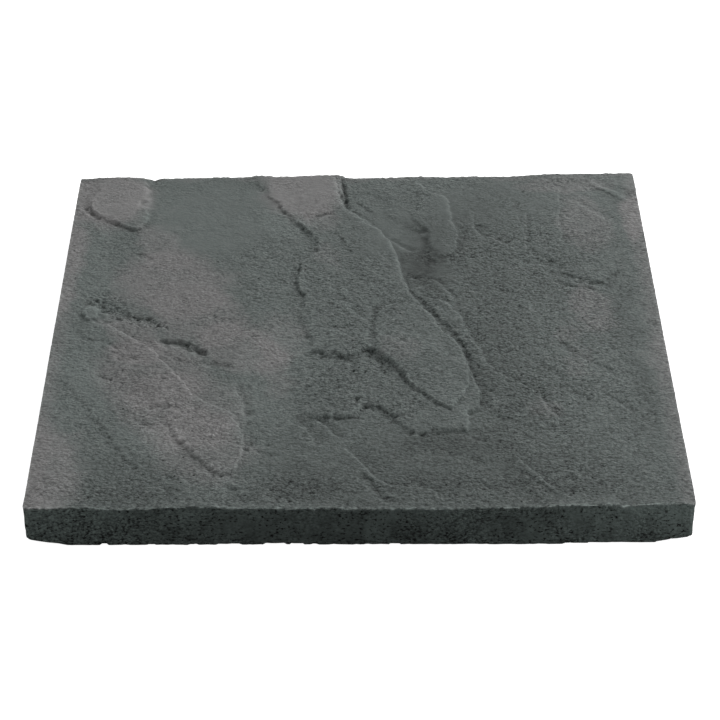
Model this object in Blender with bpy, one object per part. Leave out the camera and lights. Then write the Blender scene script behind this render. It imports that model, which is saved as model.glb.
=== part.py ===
"""A riven concrete paving slab, 450 x 450 mm and 33 mm thick, cast in a mould taken from split stone.

The slab is one solid, 37 mm high at its highest plate. Its upper face carries the relief of split
stone: thin plates with broken edges, single ledges that die out at both ends, and pits. The underside is
flat, with a rounded lower edge, chips along its front and corners that the mould filled less. The origin is
the centre of the underside, +Z is up and -Y is the front. Sizes here are in millimetres; the model is in
metres.
"""

import math

import bpy
import numpy as np
from mathutils import noise

MM = 0.001

# Driving dimensions
SIDE = 450
HALF = SIDE / 2
FACE_LEVEL = 31.2  # the face's own level at the middle of the slab, below its plates
FACE_TILT = 1.3  # how much the right-hand edge is above the middle, from the tilt of the cast face
FACE_DISH = 1.7  # how much both side edges are above the middle, from its hollow shape
FRONT_RISE = 0.3  # how much the front edge is above the middle, and the back edge below it

ARRIS_WEAR = 0.5  # how far the upper edge is worn down, over ARRIS_WIDTH
ARRIS_WIDTH = 2
LOWER_ROUND = 1.6  # radius of the lower edge
UPPER_CORNER = 1.5  # plan radius of the four upright corners at the top
LOWER_CORNER = 4  # the same at the underside
CORNER_LEG = 28  # how far along each edge, from a corner, the underside starts to turn up
CORNER_LIFT = 5.7  # how far the underside is up at the corner itself
BED_INSET = 1.3  # the flat of the underside starts this far inside the rounded lower edge

GRID_STEP = 2  # spacing of the points that the face is worked out on
WALL_SHARES = (0.75, 0.5, 0.25, 0)  # heights of the rings of points on the walls, as shares of the wall
ROUND_ANGLES = (45, 90)  # degrees around the lower edge at which it has a ring of points
TRIANGLES = 9400  # the solid's size after the flat stretches of the grid are merged

CLEAVAGE_ANGLE = -0.95  # radians from +X: the way the split stone's grain runs
GRAIN_STRETCH = 3.0  # how much longer than wide the swells along the grain are

# The upper edge along the back and the front, as (x, z). The face runs into it over EDGE_BLEND.
EDGE_BLEND = 16
BACK_EDGE = [
    (-225, 29.6), (-214, 30.9), (-196, 31.7), (-180, 31.5), (-171, 30.2), (-165, 29.4), (-158, 30.4),
    (-130, 31.0), (-90, 31.5), (-84, 32.5), (-78, 33.1), (-66, 31.9), (-50, 32.4), (-30, 33.2),
    (-15, 33.4), (-9, 30.9), (-2, 30.1), (15, 30.7), (35, 31.0), (42, 31.7), (60, 31.7), (72, 31.3),
    (86, 31.5), (93, 32.2), (101, 31.6), (125, 31.6), (142, 33.1), (156, 33.9), (190, 34.2), (215, 34.8),
    (225, 34.4),
]
FRONT_EDGE = [
    (-225, 32.9), (-180, 32.9), (-171, 32.0), (-165, 31.2), (-147, 31.9), (-135, 33.0), (-115, 33.5),
    (-95, 33.4), (-86, 32.0), (-70, 32.5), (-54, 32.4), (-46, 31.6), (-36, 32.2), (-16, 32.2), (-9, 31.3),
    (20, 31.3), (28, 32.1), (40, 31.7), (62, 31.2), (78, 32.3), (92, 31.8), (105, 32.6), (125, 33.3),
    (136, 34.1), (170, 34.8), (176, 33.4), (190, 35.1), (210, 35.5), (217, 35.9), (225, 34.6),
]

# Each plate: how far it stands proud, then its outline as (x, y, ramp). The ramp is how far inside the
# outline the plate reaches its full height: about 2 is a broken edge, and 20 or more fades into the face.
# A negative height is a hollow.
PLATES = {
    "back_left_corner": (2.0, [
        (-217, 232, 22), (-217, 205, 20), (-217, 186, 9), (-215, 174, 3), (-210, 164, 3), (-205, 158, 4),
        (-199, 152, 8), (-192, 149, 5), (-185, 145, 3.5), (-177, 140, 3),
        (-169, 141, 4.5), (-165, 149, 3.5), (-163, 160, 6), (-162, 175, 8), (-163, 190, 8),
        (-165, 203, 6), (-169, 214, 2.5), (-172, 232, 2.5),
    ]),
    "centre": (2.1, [
        (-89, 232, 3), (-85, 222, 3), (-81, 210, 3.5), (-77, 203, 4), (-72, 193, 4), (-66, 183, 4),
        (-61, 174, 3.5), (-57, 166, 3.5), (-54, 158, 5), (-50, 151, 4), (-45, 144, 2.5), (-41, 138, 3),
        (-38, 131, 4), (-35, 122, 3.5), (-34, 113, 3.5), (-31, 106, 3), (-36, 101, 1.5), (-41, 95, 1.5),
        (-44, 88, 2), (-46, 77, 3), (-48, 66, 3), (-47, 57, 3), (-45, 49, 2), (-41, 43, 3), (-43, 32, 8),
        (-46, 20, 9), (-44, 8, 8), (-41, -5, 8), (-38, -18, 9), (-36, -28, 7), (-38, -37, 5),
        (-28, -40, 6), (-18, -43, 6), (-10, -46, 6), (-2, -47, 5), (2, -42, 5), (7, -37, 5), (12, -41, 6),
        (19, -49, 5), (25, -59, 4.5), (30, -68, 3.5), (33, -78, 3), (38, -85, 3), (44, -92, 2.5),
        (49, -101, 2.5), (57, -107, 2.5), (66, -113, 2.5), (71, -105, 2), (76, -94, 2), (80, -83, 2),
        (80, -72, 1.8), (81, -60, 1.8), (80, -50, 1.8), (77, -38, 1.8), (74, -28, 1.8), (70, -20, 1.8),
        (65, -12, 1.8), (60, -3, 1.8), (58, 8, 1.8), (53, 18, 1.8), (47, 30, 1.8), (42, 40, 1.8),
        (38, 52, 1.8), (36, 66, 2), (34, 82, 2), (32, 98, 2), (29, 112, 2), (27, 121, 2.5), (22, 132, 3),
        (17, 142, 3.5), (10, 152, 3.5), (0, 163, 3), (-9, 173, 2.5), (-11, 185, 2), (-14, 197, 2),
        (-15, 210, 2), (-16, 232, 1.5),
    ]),
    "centre_cap": (0.5, [
        (-86, 232, 5), (-79, 208, 6), (-69, 190, 5), (-60, 174, 5), (-56, 160, 8), (-46, 155, 8),
        (-38, 159, 5), (-30, 162, 1.5), (-20, 166, 1.5), (-12, 173, 4), (-13, 190, 3), (-16, 210, 2),
        (-17, 232, 2),
    ]),
    "cap_fall": (-1.1, [
        (-91, 236, 3), (-85, 222, 3), (-77, 203, 3.5), (-66, 183, 4), (-57, 166, 4), (-49, 150, 4),
        (-38, 150, 20), (-28, 175, 30), (-25, 200, 30), (-30, 236, 30),
    ]),
    "centre_lobe": (0.7, [
        (16, 18, 2.5), (20, 25, 2), (26, 29, 2), (36, 29, 2), (46, 26, 2), (52, 18, 2), (58, 8, 2),
        (60, -3, 2), (65, -12, 2), (70, -20, 2), (74, -28, 2), (77, -38, 2), (80, -50, 2), (81, -60, 2),
        (80, -72, 2), (80, -83, 2), (76, -94, 2), (71, -105, 2), (66, -113, 2.5), (57, -107, 2.5),
        (49, -101, 2.5), (44, -92, 3), (38, -85, 3), (33, -78, 3), (30, -68, 3.5), (25, -59, 4.5),
        (19, -49, 5), (13, -40, 5), (11, -25, 6), (12, -10, 3), (14, 5, 3),
    ]),
    "lobe_fall": (-1.1, [
        (33, -78, 3), (38, -85, 3), (44, -92, 2.5), (49, -101, 2.5), (57, -107, 2.5), (66, -113, 2.5),
        (71, -105, 2), (76, -94, 2), (80, -83, 4), (80, -70, 15), (70, -50, 35), (50, -45, 35),
        (36, -60, 20),
    ]),
    "middle_shelf": (2.1, [
        (-44, -100, 20), (-41, -112, 6), (-36, -119, 5), (-26, -122, 6), (-15, -121, 5), (-4, -119, 5),
        (2, -113, 4.5), (5, -106, 3.5), (12, -107, 4.5), (19, -112, 4), (24, -119, 4), (27, -129, 5),
        (31, -138, 6), (38, -145, 8), (48, -144, 8), (58, -140, 8), (70, -138, 7), (77, -139, 5),
        (79, -127, 3), (78, -116, 2), (86, -112, 2), (87, -100, 2), (87, -88, 2), (85, -76, 2),
        (83, -64, 2), (60, -20, 20), (20, 0, 25), (-20, 0, 30), (-62, -40, 30), (-62, -80, 30),
    ]),
    "valley": (-1.2, [
        (-15, 232, 1.5), (-13, 200, 1.5), (-11, 185, 1.5), (-10, 174, 2), (-2, 163, 3), (8, 152, 3.5),
        (15, 142, 3.5), (25, 121, 2), (29, 105, 1.5), (32, 85, 1.5), (34, 66, 1.5), (38, 50, 3),
        (52, 52, 8), (62, 72, 10), (66, 90, 8), (58, 98, 5), (55, 115, 4), (57, 131, 3), (50, 142, 5),
        (41, 155, 12), (35, 180, 20), (28, 205, 25), (12, 232, 20),
    ]),
    "right_tongue": (1.3, [
        (50, 232, 12), (53, 215, 6), (56, 202, 3), (62, 199, 3), (69, 194, 3), (74, 186, 2.5),
        (76, 175, 2.5), (77, 165, 3), (76, 152, 3), (78, 143, 2.5), (80, 133, 2.5), (80, 122, 2.5),
        (78, 110, 2.5), (74, 100, 3), (67, 95, 8), (60, 96, 8), (55, 108, 7), (54, 120, 7), (55, 132, 6),
        (49, 143, 6), (43, 155, 9), (38, 175, 15), (38, 205, 15),
    ]),
    "left_plate": (1.5, [
        (-205, 12, 8), (-192, 6, 3), (-184, 2, 2), (-175, -6, 2), (-168, -13, 2), (-161, -20, 2),
        (-153, -28, 2), (-149, -34, 2), (-144, -42, 2), (-138, -50, 2), (-132, -60, 2), (-127, -69, 2),
        (-122, -80, 2), (-118, -89, 2), (-112, -95, 2), (-104, -102, 2), (-97, -107, 2), (-90, -110, 2),
        (-86, -118, 2), (-83, -130, 2), (-80, -140, 2), (-79, -155, 2), (-79, -170, 2.5), (-82, -180, 3),
        (-88, -186, 3), (-95, -188, 2.5), (-102, -184, 2.5), (-108, -176, 3), (-115, -165, 3),
        (-122, -154, 3), (-128, -146, 3), (-133, -134, 8), (-150, -110, 25), (-185, -60, 30),
        (-215, -20, 30),
    ]),
    "left_pebble": (2.0, [
        (-206, 26, 2), (-202, 31, 2), (-196, 29, 2), (-193, 21, 1.5), (-193, 10, 1.5), (-198, 6, 2),
        (-204, 8, 2), (-207, 17, 2),
    ]),
    "left_terrace": (0.8, [
        (-232, -62, 20), (-212, -80, 9), (-201, -93, 5), (-192, -107, 5), (-188, -120, 4),
        (-183, -127, 4), (-177, -138, 4), (-174, -147, 4), (-169, -157, 4), (-163, -168, 5),
        (-155, -177, 7), (-147, -190, 8), (-134, -197, 14), (-112, -200, 18), (-92, -190, 20),
        (-90, -150, 20), (-112, -110, 20), (-142, -60, 20), (-182, -20, 20), (-232, 5, 20),
    ]),
    "right_step": (0.6, [
        (38, 70, 3), (50, 69, 2), (56, 66, 2), (62, 62, 2), (66, 54, 2), (70, 47, 2), (73, 36, 2),
        (76, 20, 8), (60, 20, 10), (44, 36, 6), (38, 52, 3),
    ]),
    "right_shelf": (1.2, [
        (44, 42, 3), (52, 38, 2), (60, 36, 2), (67, 31, 2), (73, 21, 2), (77, 13, 2), (80, 3, 2),
        (83, -13, 2.5), (87, -25, 2.5), (92, -36, 2.5), (95, -52, 2), (100, -62, 2), (112, -75, 1.5),
        (120, -82, 1.5), (128, -90, 1.5), (131, -100, 1.5), (136, -112, 2), (141, -123, 3), (143, -134, 12),
        (130, -138, 18), (115, -138, 18), (106, -132, 18), (98, -126, 15), (92, -114, 10), (90, -98, 8),
        (84, -60, 8), (76, -28, 8), (62, 2, 8),
    ]),
    "back_right_corner": (1.2, [
        (160, 232, 25), (170, 218, 15), (181, 209, 6), (189, 204, 3), (196, 197, 2.5), (202, 188, 3),
        (209, 180, 6), (218, 174, 14), (236, 170, 20), (236, 232, 2),
    ]),
    "back_right_shelf": (0.8, [
        (134, 232, 14), (131, 160, 10), (131, 110, 10), (142, 98, 6), (152, 90, 4), (158, 78, 4),
        (164, 62, 4), (172, 54, 4), (184, 56, 6), (200, 66, 12), (232, 80, 25), (232, 232, 20),
    ]),
    "back_right_step": (0.5, [
        (88, 172, 8), (94, 168, 2), (94, 152, 2), (93, 144, 2), (97, 130, 2), (105, 127, 2),
        (115, 118, 2), (122, 100, 6), (100, 92, 15), (82, 110, 12), (82, 150, 10),
    ]),
    "front_right_ridge": (1.4, [
        (108, -166, 4), (113, -174, 2), (119, -183, 2), (124, -193, 2), (130, -202, 2), (137, -210, 2),
        (143, -215, 2), (149, -223, 2), (152, -232, 2), (120, -232, 8), (112, -210, 14), (98, -185, 14),
    ]),
    "front_right_corner": (0.9, [
        (182, -232, 6), (180, -215, 8), (186, -190, 12), (200, -165, 15), (232, -140, 20), (232, -232, 2),
    ]),
}

# Each ledge: how far it drops, over what width, over what further width the low side comes back up, and its
# line as (x, y). The low side is on the right of the line as it is listed.
LEDGES = {
    # Facing the front and the left.
    "left_scar": (1.5, 9, 10, [
        (-206, 47), (-196, 41), (-188, 35), (-180, 29), (-172, 22), (-162, 18), (-153, 16), (-147, 8),
        (-140, 1),
    ]),
    "left_pocket": (2.6, 4, 12, [
        (-150, -19), (-145, -16), (-137, -15), (-131, -16), (-124, -20), (-116, -25), (-110, -30),
        (-108, -40),
    ]),
    "left_notch": (1.4, 6, 8, [(-114, -38), (-107, -42), (-98, -46), (-86, -47)]),
    "left_flake": (0.8, 3, 8, [(-178, 108), (-168, 107), (-160, 104), (-155, 93)]),
    "centre_groove": (2.6, 5, 1.5, [(-7, 240), (-7, 212), (-6, 198), (-4, 186), (-1, 173)]),
    "centre_front": (1.1, 5, 9, [(-42, -37), (-28, -38), (-12, -43), (-1, -45)]),
    "centre_front_2": (1.3, 5, 9, [(2, -37), (11, -39), (18, -48), (24, -58), (30, -72)]),
    "cap_crease": (0.9, 2.5, 5, [(-37, 160), (-29, 163), (-18, 167)]),
    "valley_crease": (0.8, 3.5, 6, [(1, 189), (7, 181), (16, 170)]),
    "shelf_crease": (0.8, 2, 6, [(0, -50), (-2, -60), (-2, -70)]),
    "right_flake": (1.1, 5, 9, [(146, -17), (153, -24), (160, -32), (170, -41)]),
    "right_flake_2": (1.0, 3, 8, [(166, -43), (174, -50), (180, -56), (188, -61)]),
    "right_flake_3": (0.9, 3, 8, [(148, -74), (154, -82), (161, -92), (170, -99)]),
    "right_flake_4": (0.9, 4, 8, [(104, 55), (111, 52), (118, 49), (126, 45)]),
    "right_flake_5": (0.9, 4, 8, [(133, -46), (141, -56), (148, -64), (156, -71)]),
    "right_crease": (1.0, 3.5, 8, [(143, 86), (152, 79), (163, 71), (175, 66), (187, 59), (196, 52)]),
    "right_crease_2": (0.9, 3, 6, [(148, 70), (156, 63), (164, 57), (174, 53), (184, 49)]),
    "right_blob": (1.1, 4, 9, [(146, 99), (151, 93), (157, 88), (163, 87)]),
    "front_crease": (1.1, 3, 6, [(-90, -194), (-84, -201), (-78, -209), (-72, -222)]),
    "side_crease": (0.8, 4, 6, [(-84, -105), (-76, -107), (-66, -107)]),
    "front_hollow": (1.2, 4, 7, [(3, -180), (9, -190), (15, -201), (22, -211), (36, -218)]),
    "ridge_back": (0.8, 3, 6, [(114, -182), (121, -194), (128, -204), (135, -212), (141, -217), (147, -226)]),
    # Facing the back and the right.
    "left_fin": (0.9, 2, 8, [(-145, -136), (-154, -128), (-163, -118)]),
    "plate_side": (1.1, 2.5, 10, [(-81, -120), (-84, -100), (-89, -76)]),
    "front_line": (1.0, 3, 12, [(-31, -154), (-33, -142), (-40, -131), (-52, -121)]),
    "front_line_2": (1.1, 2.5, 8, [(-14, -146), (-17, -140), (-22, -131), (-31, -121)]),
    "front_centre": (1.2, 3, 22, [
        (52, -216), (52, -208), (46, -203), (34, -201), (21, -200), (13, -192), (5, -180), (-3, -167),
        (-12, -154),
    ]),
    "right_short_2": (0.9, 2.5, 8, [(194, -119), (187, -110), (180, -101), (170, -91)]),
    "right_arc": (0.9, 4, 10, [(150, 77), (142, 83), (130, 86), (123, 92), (117, 101)]),
    "right_step_line": (1.1, 2.5, 10, [(118, 115), (110, 121), (103, 127), (97, 129), (93, 136), (92, 150)]),
    "valley_branch": (0.8, 2, 6, [(44, 106), (37, 112), (31, 119), (24, 129)]),
    "corner_lip": (0.8, 5, 12, [(219, 176), (211, 186), (203, 195), (194, 205), (184, 214)]),
}

# Pits left by air, and spots where a broken edge has crumbled: x, y, radius, depth.
PITS = [
    (-215, 174, 4, 1.8), (-211, 165, 3, 1.2), (-205, 159, 3, 1), (-190, 149, 3.5, 1), (-178, 141, 3, 0.6),
    (-165, 144, 3, 0.7), (-165, 222, 6, 1.4), (-198, 38, 3, 1.2), (-191, 35, 3, 1.2), (-191, 22, 3.5, 1.5),
    (-190, 12, 3, 0.8), (-186, 31, 3, 1.2), (-181, 26, 3.5, 1.3), (-172, 18, 3, 1.2), (-164, 12, 3, 1.2),
    (-156, 12, 3.5, 1.4), (-148, 2, 3, 1.2), (-141, -20, 3.5, 1), (-128, -22, 3, 0.7), (-117, -31, 4, 1.2),
    (-114, -34, 4, 0.8), (-124, -150, 3, 1.2), (-115, -161, 3, 1.2), (-101, -182, 3, 1.2), (-94, -187, 3, 1),
    (-78, -157, 3.5, 1.2), (-84, -202, 3, 1.2), (-78, -209, 3, 1.2), (-74, -216, 3, 1.2),
    (-171, -145, 3, 1.2), (-169, -157, 3, 1), (-162, -166, 3, 0.9), (-153, -178, 3, 0.8),
    (-147, -108, 3.5, 0.9), (-137, -119, 4, 0.8), (-200, -95, 3, 0.6), (-64, -152, 3, 0.9),
    (-56, -127, 4.5, 1.1), (-77, -126, 4.5, 0.9), (-84, 221, 3, 0.8), (-77, 204, 3, 0.8), (-62, 176, 3, 0.8),
    (-58, 167, 3, 1), (-53, 155, 3, 0.6), (-43, 142, 3, 0.9), (-48, 60, 3, 0.8), (-41, 44, 3.5, 0.8),
    (-11, 205, 3.5, 1.4), (-8, 189, 3.5, 1.6), (-27, -38, 3, 0.8), (-18, -39, 3.5, 1), (-13, -42, 3, 1.2),
    (-5, -43, 4, 1.4), (11, -38, 4.5, 1.8), (21, -49, 4, 0.8), (14, 22, 5, 0.9), (11, 4, 5, 0.8),
    (-24, -119, 3, 1.5), (-16, -119, 3.5, 1.4), (5, -106, 3, 1.2), (15, -108, 3, 1.2), (23, -113, 3, 1.4),
    (27, -119, 3, 1.4), (37, -139, 4, 1.4), (44, -141, 3, 1.2), (55, -140, 3, 0.9), (-1, -98, 3, 2.2),
    (80, -41, 3, 1.5), (83, -67, 3, 1.5), (84, -78, 3, 1.2), (90, -82, 3, 1), (52, 139, 8, 0.7),
    (71, 50, 3, 0.6), (103, -122, 3.5, 0.8), (101, -103, 3, 0.6), (174, 97, 3, 0.7), (147, -8, 3, 0.6),
    (133, 198, 3, 0.6), (218, 0, 6, 0.9), (124, -209, 5, 0.8),
]

# Chips out of the lower edge along the front: x, width, height.
FOOT_CHIPS = [
    (-140, 5, 0.4), (-112, 6, 0.8), (-88, 16, 0.9), (-57, 14, 1.5), (-30, 4, 0.6),
    (24, 7, 0.8), (148, 20, 0.9), (190, 70, 1.3),
]


def smooth_step(share):
    """0 at 0 and below, 1 at 1 and above, with level ends."""
    share = np.clip(share, 0, 1)
    return share * share * (3 - 2 * share)


def noise_field(x, y, size, layer):
    """Perlin noise, from about -1 to 1, with swells `size` across. Each layer is a field of its own."""
    return np.array([noise.noise((a, b, layer)) for a, b in zip(x / size, y / size)])


def inside(x, y, outline):
    """Whether each point is inside the closed outline."""
    found = np.zeros(len(x), bool)
    for (ax, ay, _), (bx, by, _) in zip(outline, outline[1:] + outline[:1]):
        if ay != by:
            crosses = (ay > y) != (by > y)
            found ^= crosses & (x < ax + (y - ay) * (bx - ax) / (by - ay))
    return found


def plate_height(x, y, rise, outline, crispness):
    """The height that one plate adds at each point. Where crispness is low its edge is worn soft."""
    height = np.zeros(len(x))
    within = inside(x, y, outline)
    px, py = x[within], y[within]
    share = np.full(len(px), np.inf)
    for (ax, ay, a_ramp), (bx, by, b_ramp) in zip(outline, outline[1:] + outline[:1]):
        dx, dy = bx - ax, by - ay
        along = np.clip(((px - ax) * dx + (py - ay) * dy) / (dx * dx + dy * dy), 0, 1)
        distance = np.hypot(px - ax - along * dx, py - ay - along * dy)
        share = np.minimum(share, distance / (a_ramp + along * (b_ramp - a_ramp)))
    height[within] = rise * smooth_step(share * crispness[within])
    return height


def ledge_drop(x, y, drop, width, fade, line, crispness):
    """What one ledge takes off at each point. It dies out at both ends of its line."""
    nearest = np.full(len(x), np.inf)
    beyond, place = np.zeros(len(x)), np.zeros(len(x))
    total = 0
    for (ax, ay), (bx, by) in zip(line, line[1:]):
        dx, dy = bx - ax, by - ay
        length = math.hypot(dx, dy)
        along = np.clip(((x - ax) * dx + (y - ay) * dy) / length ** 2, 0, 1)
        distance = np.hypot(x - ax - along * dx, y - ay - along * dy)
        closer = distance < nearest
        nearest = np.minimum(nearest, distance)
        side = np.sign(dy * (x - ax) - dx * (y - ay))
        beyond = np.where(closer, side * distance, beyond)
        place = np.where(closer, total + along * length, place)
        total += length
    wide = width / crispness
    shape = smooth_step(beyond / wide) * (1 - smooth_step((beyond - wide) / fade))
    ends = smooth_step(np.minimum(place, total - place) / (2 * width))
    return drop * shape * ends


def edge_level(profile, x):
    """The height of an upper edge at each x, read from its profile."""
    stations, levels = zip(*profile)
    return np.interp(x, stations, levels)


def face_height(x, y):
    """The height of the upper face above the underside."""
    u, v = x / HALF, y / HALF
    height = FACE_LEVEL + FACE_TILT * u + FACE_DISH * u * u - FRONT_RISE * v

    # The broken edges wander from their outlines, and are crisp in places and worn in others.
    warp_x = x + 1.0 * noise_field(x, y, 14, 1) + 0.9 * noise_field(x, y, 5, 2)
    warp_y = y + 1.0 * noise_field(x, y, 14, 3) + 0.9 * noise_field(x, y, 5, 4)
    crispness = np.clip(1.1 + 0.8 * noise_field(x, y, 18, 14) + 0.5 * noise_field(x, y, 5, 15), 0.5, 1.7)
    for rise, outline in PLATES.values():
        height += plate_height(warp_x, warp_y, rise, outline, crispness)
    for drop, width, fade, line in LEDGES.values():
        height -= ledge_drop(warp_x, warp_y, drop, width, fade, line, crispness)

    # Swells along the grain of the stone, and lumps that run no particular way.
    along = (x * np.cos(CLEAVAGE_ANGLE) + y * np.sin(CLEAVAGE_ANGLE)) / GRAIN_STRETCH
    across = y * np.cos(CLEAVAGE_ANGLE) - x * np.sin(CLEAVAGE_ANGLE)
    height += 0.20 * noise_field(along, across, 16, 5)
    height += 0.30 * noise_field(x, y, 45, 6)
    height += 0.14 * noise_field(x, y, 9, 7)

    # The back and front edges have their own levels.
    for profile, to_edge in ((BACK_EDGE, HALF - y), (FRONT_EDGE, HALF + y)):
        share = 1 - smooth_step(to_edge / EDGE_BLEND)
        height += (edge_level(profile, warp_x) - height) * share

    for px, py, radius, depth in PITS:
        distance = np.hypot(warp_x - px, warp_y - py) / radius
        height -= depth * (1 - smooth_step(distance))

    to_edge = HALF - np.maximum(np.abs(x), np.abs(y))
    return height - ARRIS_WEAR * (1 - np.clip(to_edge / ARRIS_WIDTH, 0, 1)) ** 2


def rounded_square(x, y, inset, radius):
    """Points of the square's outline moved in by `inset`, with the corners rounded in plan to `radius`."""
    reach = HALF - inset
    x, y = np.clip(x, -reach, reach), np.clip(y, -reach, reach)
    core = reach - radius
    over_x, over_y = np.maximum(np.abs(x) - core, 0), np.maximum(np.abs(y) - core, 0)
    scale = np.minimum(radius / np.maximum(np.hypot(over_x, over_y), radius), 1)
    corner = (over_x > 0) & (over_y > 0)
    new_x = np.where(corner, np.sign(x) * (core + over_x * scale), x)
    new_y = np.where(corner, np.sign(y) * (core + over_y * scale), y)
    return new_x, new_y


def lower_lift(x, y):
    """How far the lower edge is above the bed: up at the corners, and at each chip along the front."""
    beyond = np.abs(x) + np.abs(y) - (SIDE - CORNER_LEG)
    lift = CORNER_LIFT * np.clip(beyond / CORNER_LEG, 0, 1)
    for place, width, height in FOOT_CHIPS:
        share = 1 - smooth_step((np.abs(x - place) - width / 2) / GRID_STEP + 0.5)
        lift += height * share * (y < 5 - HALF)
    return lift


def side_rings(x, y, top):
    """The rings of points that make the walls and the lower edge, from under the upper face to the bed."""
    lift = lower_lift(x, y)
    radius = LOWER_ROUND * (1 + 0.5 * noise_field(x, y, 12, 8)) * (1 - 0.6 * lower_lift(x, y) / CORNER_LIFT)
    foot = lift + radius
    rings = []
    for share in WALL_SHARES:
        level = foot + (top - foot) * share
        waver = 0.3 * (1 + noise_field(x + y, level * 2, 20, 9))
        plan = rounded_square(x, y, waver, UPPER_CORNER + (LOWER_CORNER - UPPER_CORNER) * (1 - share))
        rings.append(np.column_stack([*plan, level]))
    for angle in np.radians(ROUND_ANGLES):
        plan = rounded_square(x, y, 0.3 + radius * (1 - np.cos(angle)), LOWER_CORNER)
        rings.append(np.column_stack([*plan, lift + radius * (1 - np.sin(angle))]))

    # The bed's outline: the last ring moved in, and off the corners that turn up.
    bed_x, bed_y = (axis * (1 - BED_INSET / HALF) for axis in plan)
    over = np.maximum(np.abs(bed_x) + np.abs(bed_y) - (SIDE - CORNER_LEG), 0)
    bed_x, bed_y = bed_x - np.sign(bed_x) * over / 2, bed_y - np.sign(bed_y) * over / 2
    rings.append(np.column_stack([bed_x, bed_y, np.zeros(len(bed_x))]))
    return rings


def slab_mesh():
    """The slab as one closed mesh: a grid for the face, rings for the walls and one polygon for the bed."""
    count = round(SIDE / GRID_STEP) + 1
    line = np.linspace(-HALF, HALF, count)
    x, y = (axis.ravel() for axis in np.meshgrid(line, line))
    edge = np.arange(count - 1)
    last = count * count - 1
    rim = np.concatenate([edge, edge * count + count - 1, last - edge, (count - 1 - edge) * count])
    height = face_height(x, y)
    plan_x, plan_y = x.copy(), y.copy()
    plan_x[rim], plan_y[rim] = rounded_square(x[rim], y[rim], 0, UPPER_CORNER)
    points = [np.column_stack([plan_x, plan_y, height]), *side_rings(x[rim], y[rim], height[rim])]

    corner = (np.arange(count - 1)[:, None] * count + np.arange(count - 1)).ravel()
    faces = np.column_stack([corner, corner + 1, corner + count + 1, corner + count]).tolist()
    upper = rim
    for ring in range(len(points) - 1):
        lower = count * count + ring * len(rim) + np.arange(len(rim))
        faces += np.column_stack([upper, lower, np.roll(lower, -1), np.roll(upper, -1)]).tolist()
        upper = lower
    faces.append(upper[::-1].tolist())

    mesh = bpy.data.meshes.new("slab")
    mesh.from_pydata((np.concatenate(points) * MM).tolist(), [], faces)
    mesh.update()
    return mesh


def merge_flat_stretches(slab):
    """Merges the grid where it is flat, and puts the walls and the bed back on the slab's exact planes."""
    mesh = slab.data
    merge = slab.modifiers.new("merge", "DECIMATE")
    merge.ratio = TRIANGLES / sum(len(face.vertices) - 2 for face in mesh.polygons)
    merge.use_collapse_triangulate = True
    depsgraph = bpy.context.evaluated_depsgraph_get()
    slab.data = bpy.data.meshes.new_from_object(slab.evaluated_get(depsgraph))
    slab.modifiers.clear()
    bpy.data.meshes.remove(mesh)

    reach = HALF * MM
    for vertex in slab.data.vertices:
        vertex.co.x = min(max(vertex.co.x, -reach), reach)
        vertex.co.y = min(max(vertex.co.y, -reach), reach)
        if vertex.co.z < 0.05 * MM:
            vertex.co.z = 0
    slab.data.name = "slab"


def concrete():
    """Charcoal-grey pigmented concrete, dry."""
    material = bpy.data.materials.new("charcoal_concrete")
    material.use_nodes = True
    shader = material.node_tree.nodes["Principled BSDF"]
    shader.inputs["Base Color"].default_value = (0.105, 0.115, 0.112, 1)
    shader.inputs["Roughness"].default_value = 0.9
    shader.inputs["Metallic"].default_value = 0
    return material


def main():
    for obj in list(bpy.data.objects):
        bpy.data.objects.remove(obj)
    mesh = slab_mesh()
    mesh.materials.append(concrete())
    slab = bpy.data.objects.new("slab", mesh)
    bpy.context.scene.collection.objects.link(slab)
    merge_flat_stretches(slab)


main()
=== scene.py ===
"""The riven paving slab as it looks: charcoal-grey concrete cast in a mould of split stone.

One piece, "slab_stone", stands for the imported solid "slab". It repeats the solid's plates, ledges and larger
pits on a finer mesh, a few slighter or left out, adds the small ones, the upper edge's burr and the sandy
roughness, and carries the concrete's material.
The slab's sizes are in millimetres and the studio's in metres. All is built in metres, in the frame's axes.
"""

import math

import bpy
import numpy as np
from mathutils import Matrix, Vector, noise


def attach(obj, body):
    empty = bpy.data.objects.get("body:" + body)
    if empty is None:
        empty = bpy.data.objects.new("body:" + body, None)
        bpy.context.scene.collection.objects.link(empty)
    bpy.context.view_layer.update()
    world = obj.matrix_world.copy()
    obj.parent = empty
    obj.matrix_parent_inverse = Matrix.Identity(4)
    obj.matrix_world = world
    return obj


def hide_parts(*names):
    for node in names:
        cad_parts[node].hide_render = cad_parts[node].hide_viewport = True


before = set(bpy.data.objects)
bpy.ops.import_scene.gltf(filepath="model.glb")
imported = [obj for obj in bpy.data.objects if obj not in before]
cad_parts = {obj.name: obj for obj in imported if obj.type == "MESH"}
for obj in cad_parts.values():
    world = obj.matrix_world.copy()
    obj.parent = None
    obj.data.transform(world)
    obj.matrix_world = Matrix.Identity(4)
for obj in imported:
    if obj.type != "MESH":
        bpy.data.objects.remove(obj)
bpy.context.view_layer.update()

MM = 0.001
SIDE = 450
HALF = SIDE / 2

# ---------- the shape

FACE_LEVEL = 31.2  # the face's level at the middle, below its plates
FACE_TILT = 1.3  # the right side is this much above the middle, and the left below it
FACE_DISH = 1.7  # and the face's hollow adds this to both sides
FRONT_RISE = 0.3  # the front is this much above the middle, and the back below it

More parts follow.
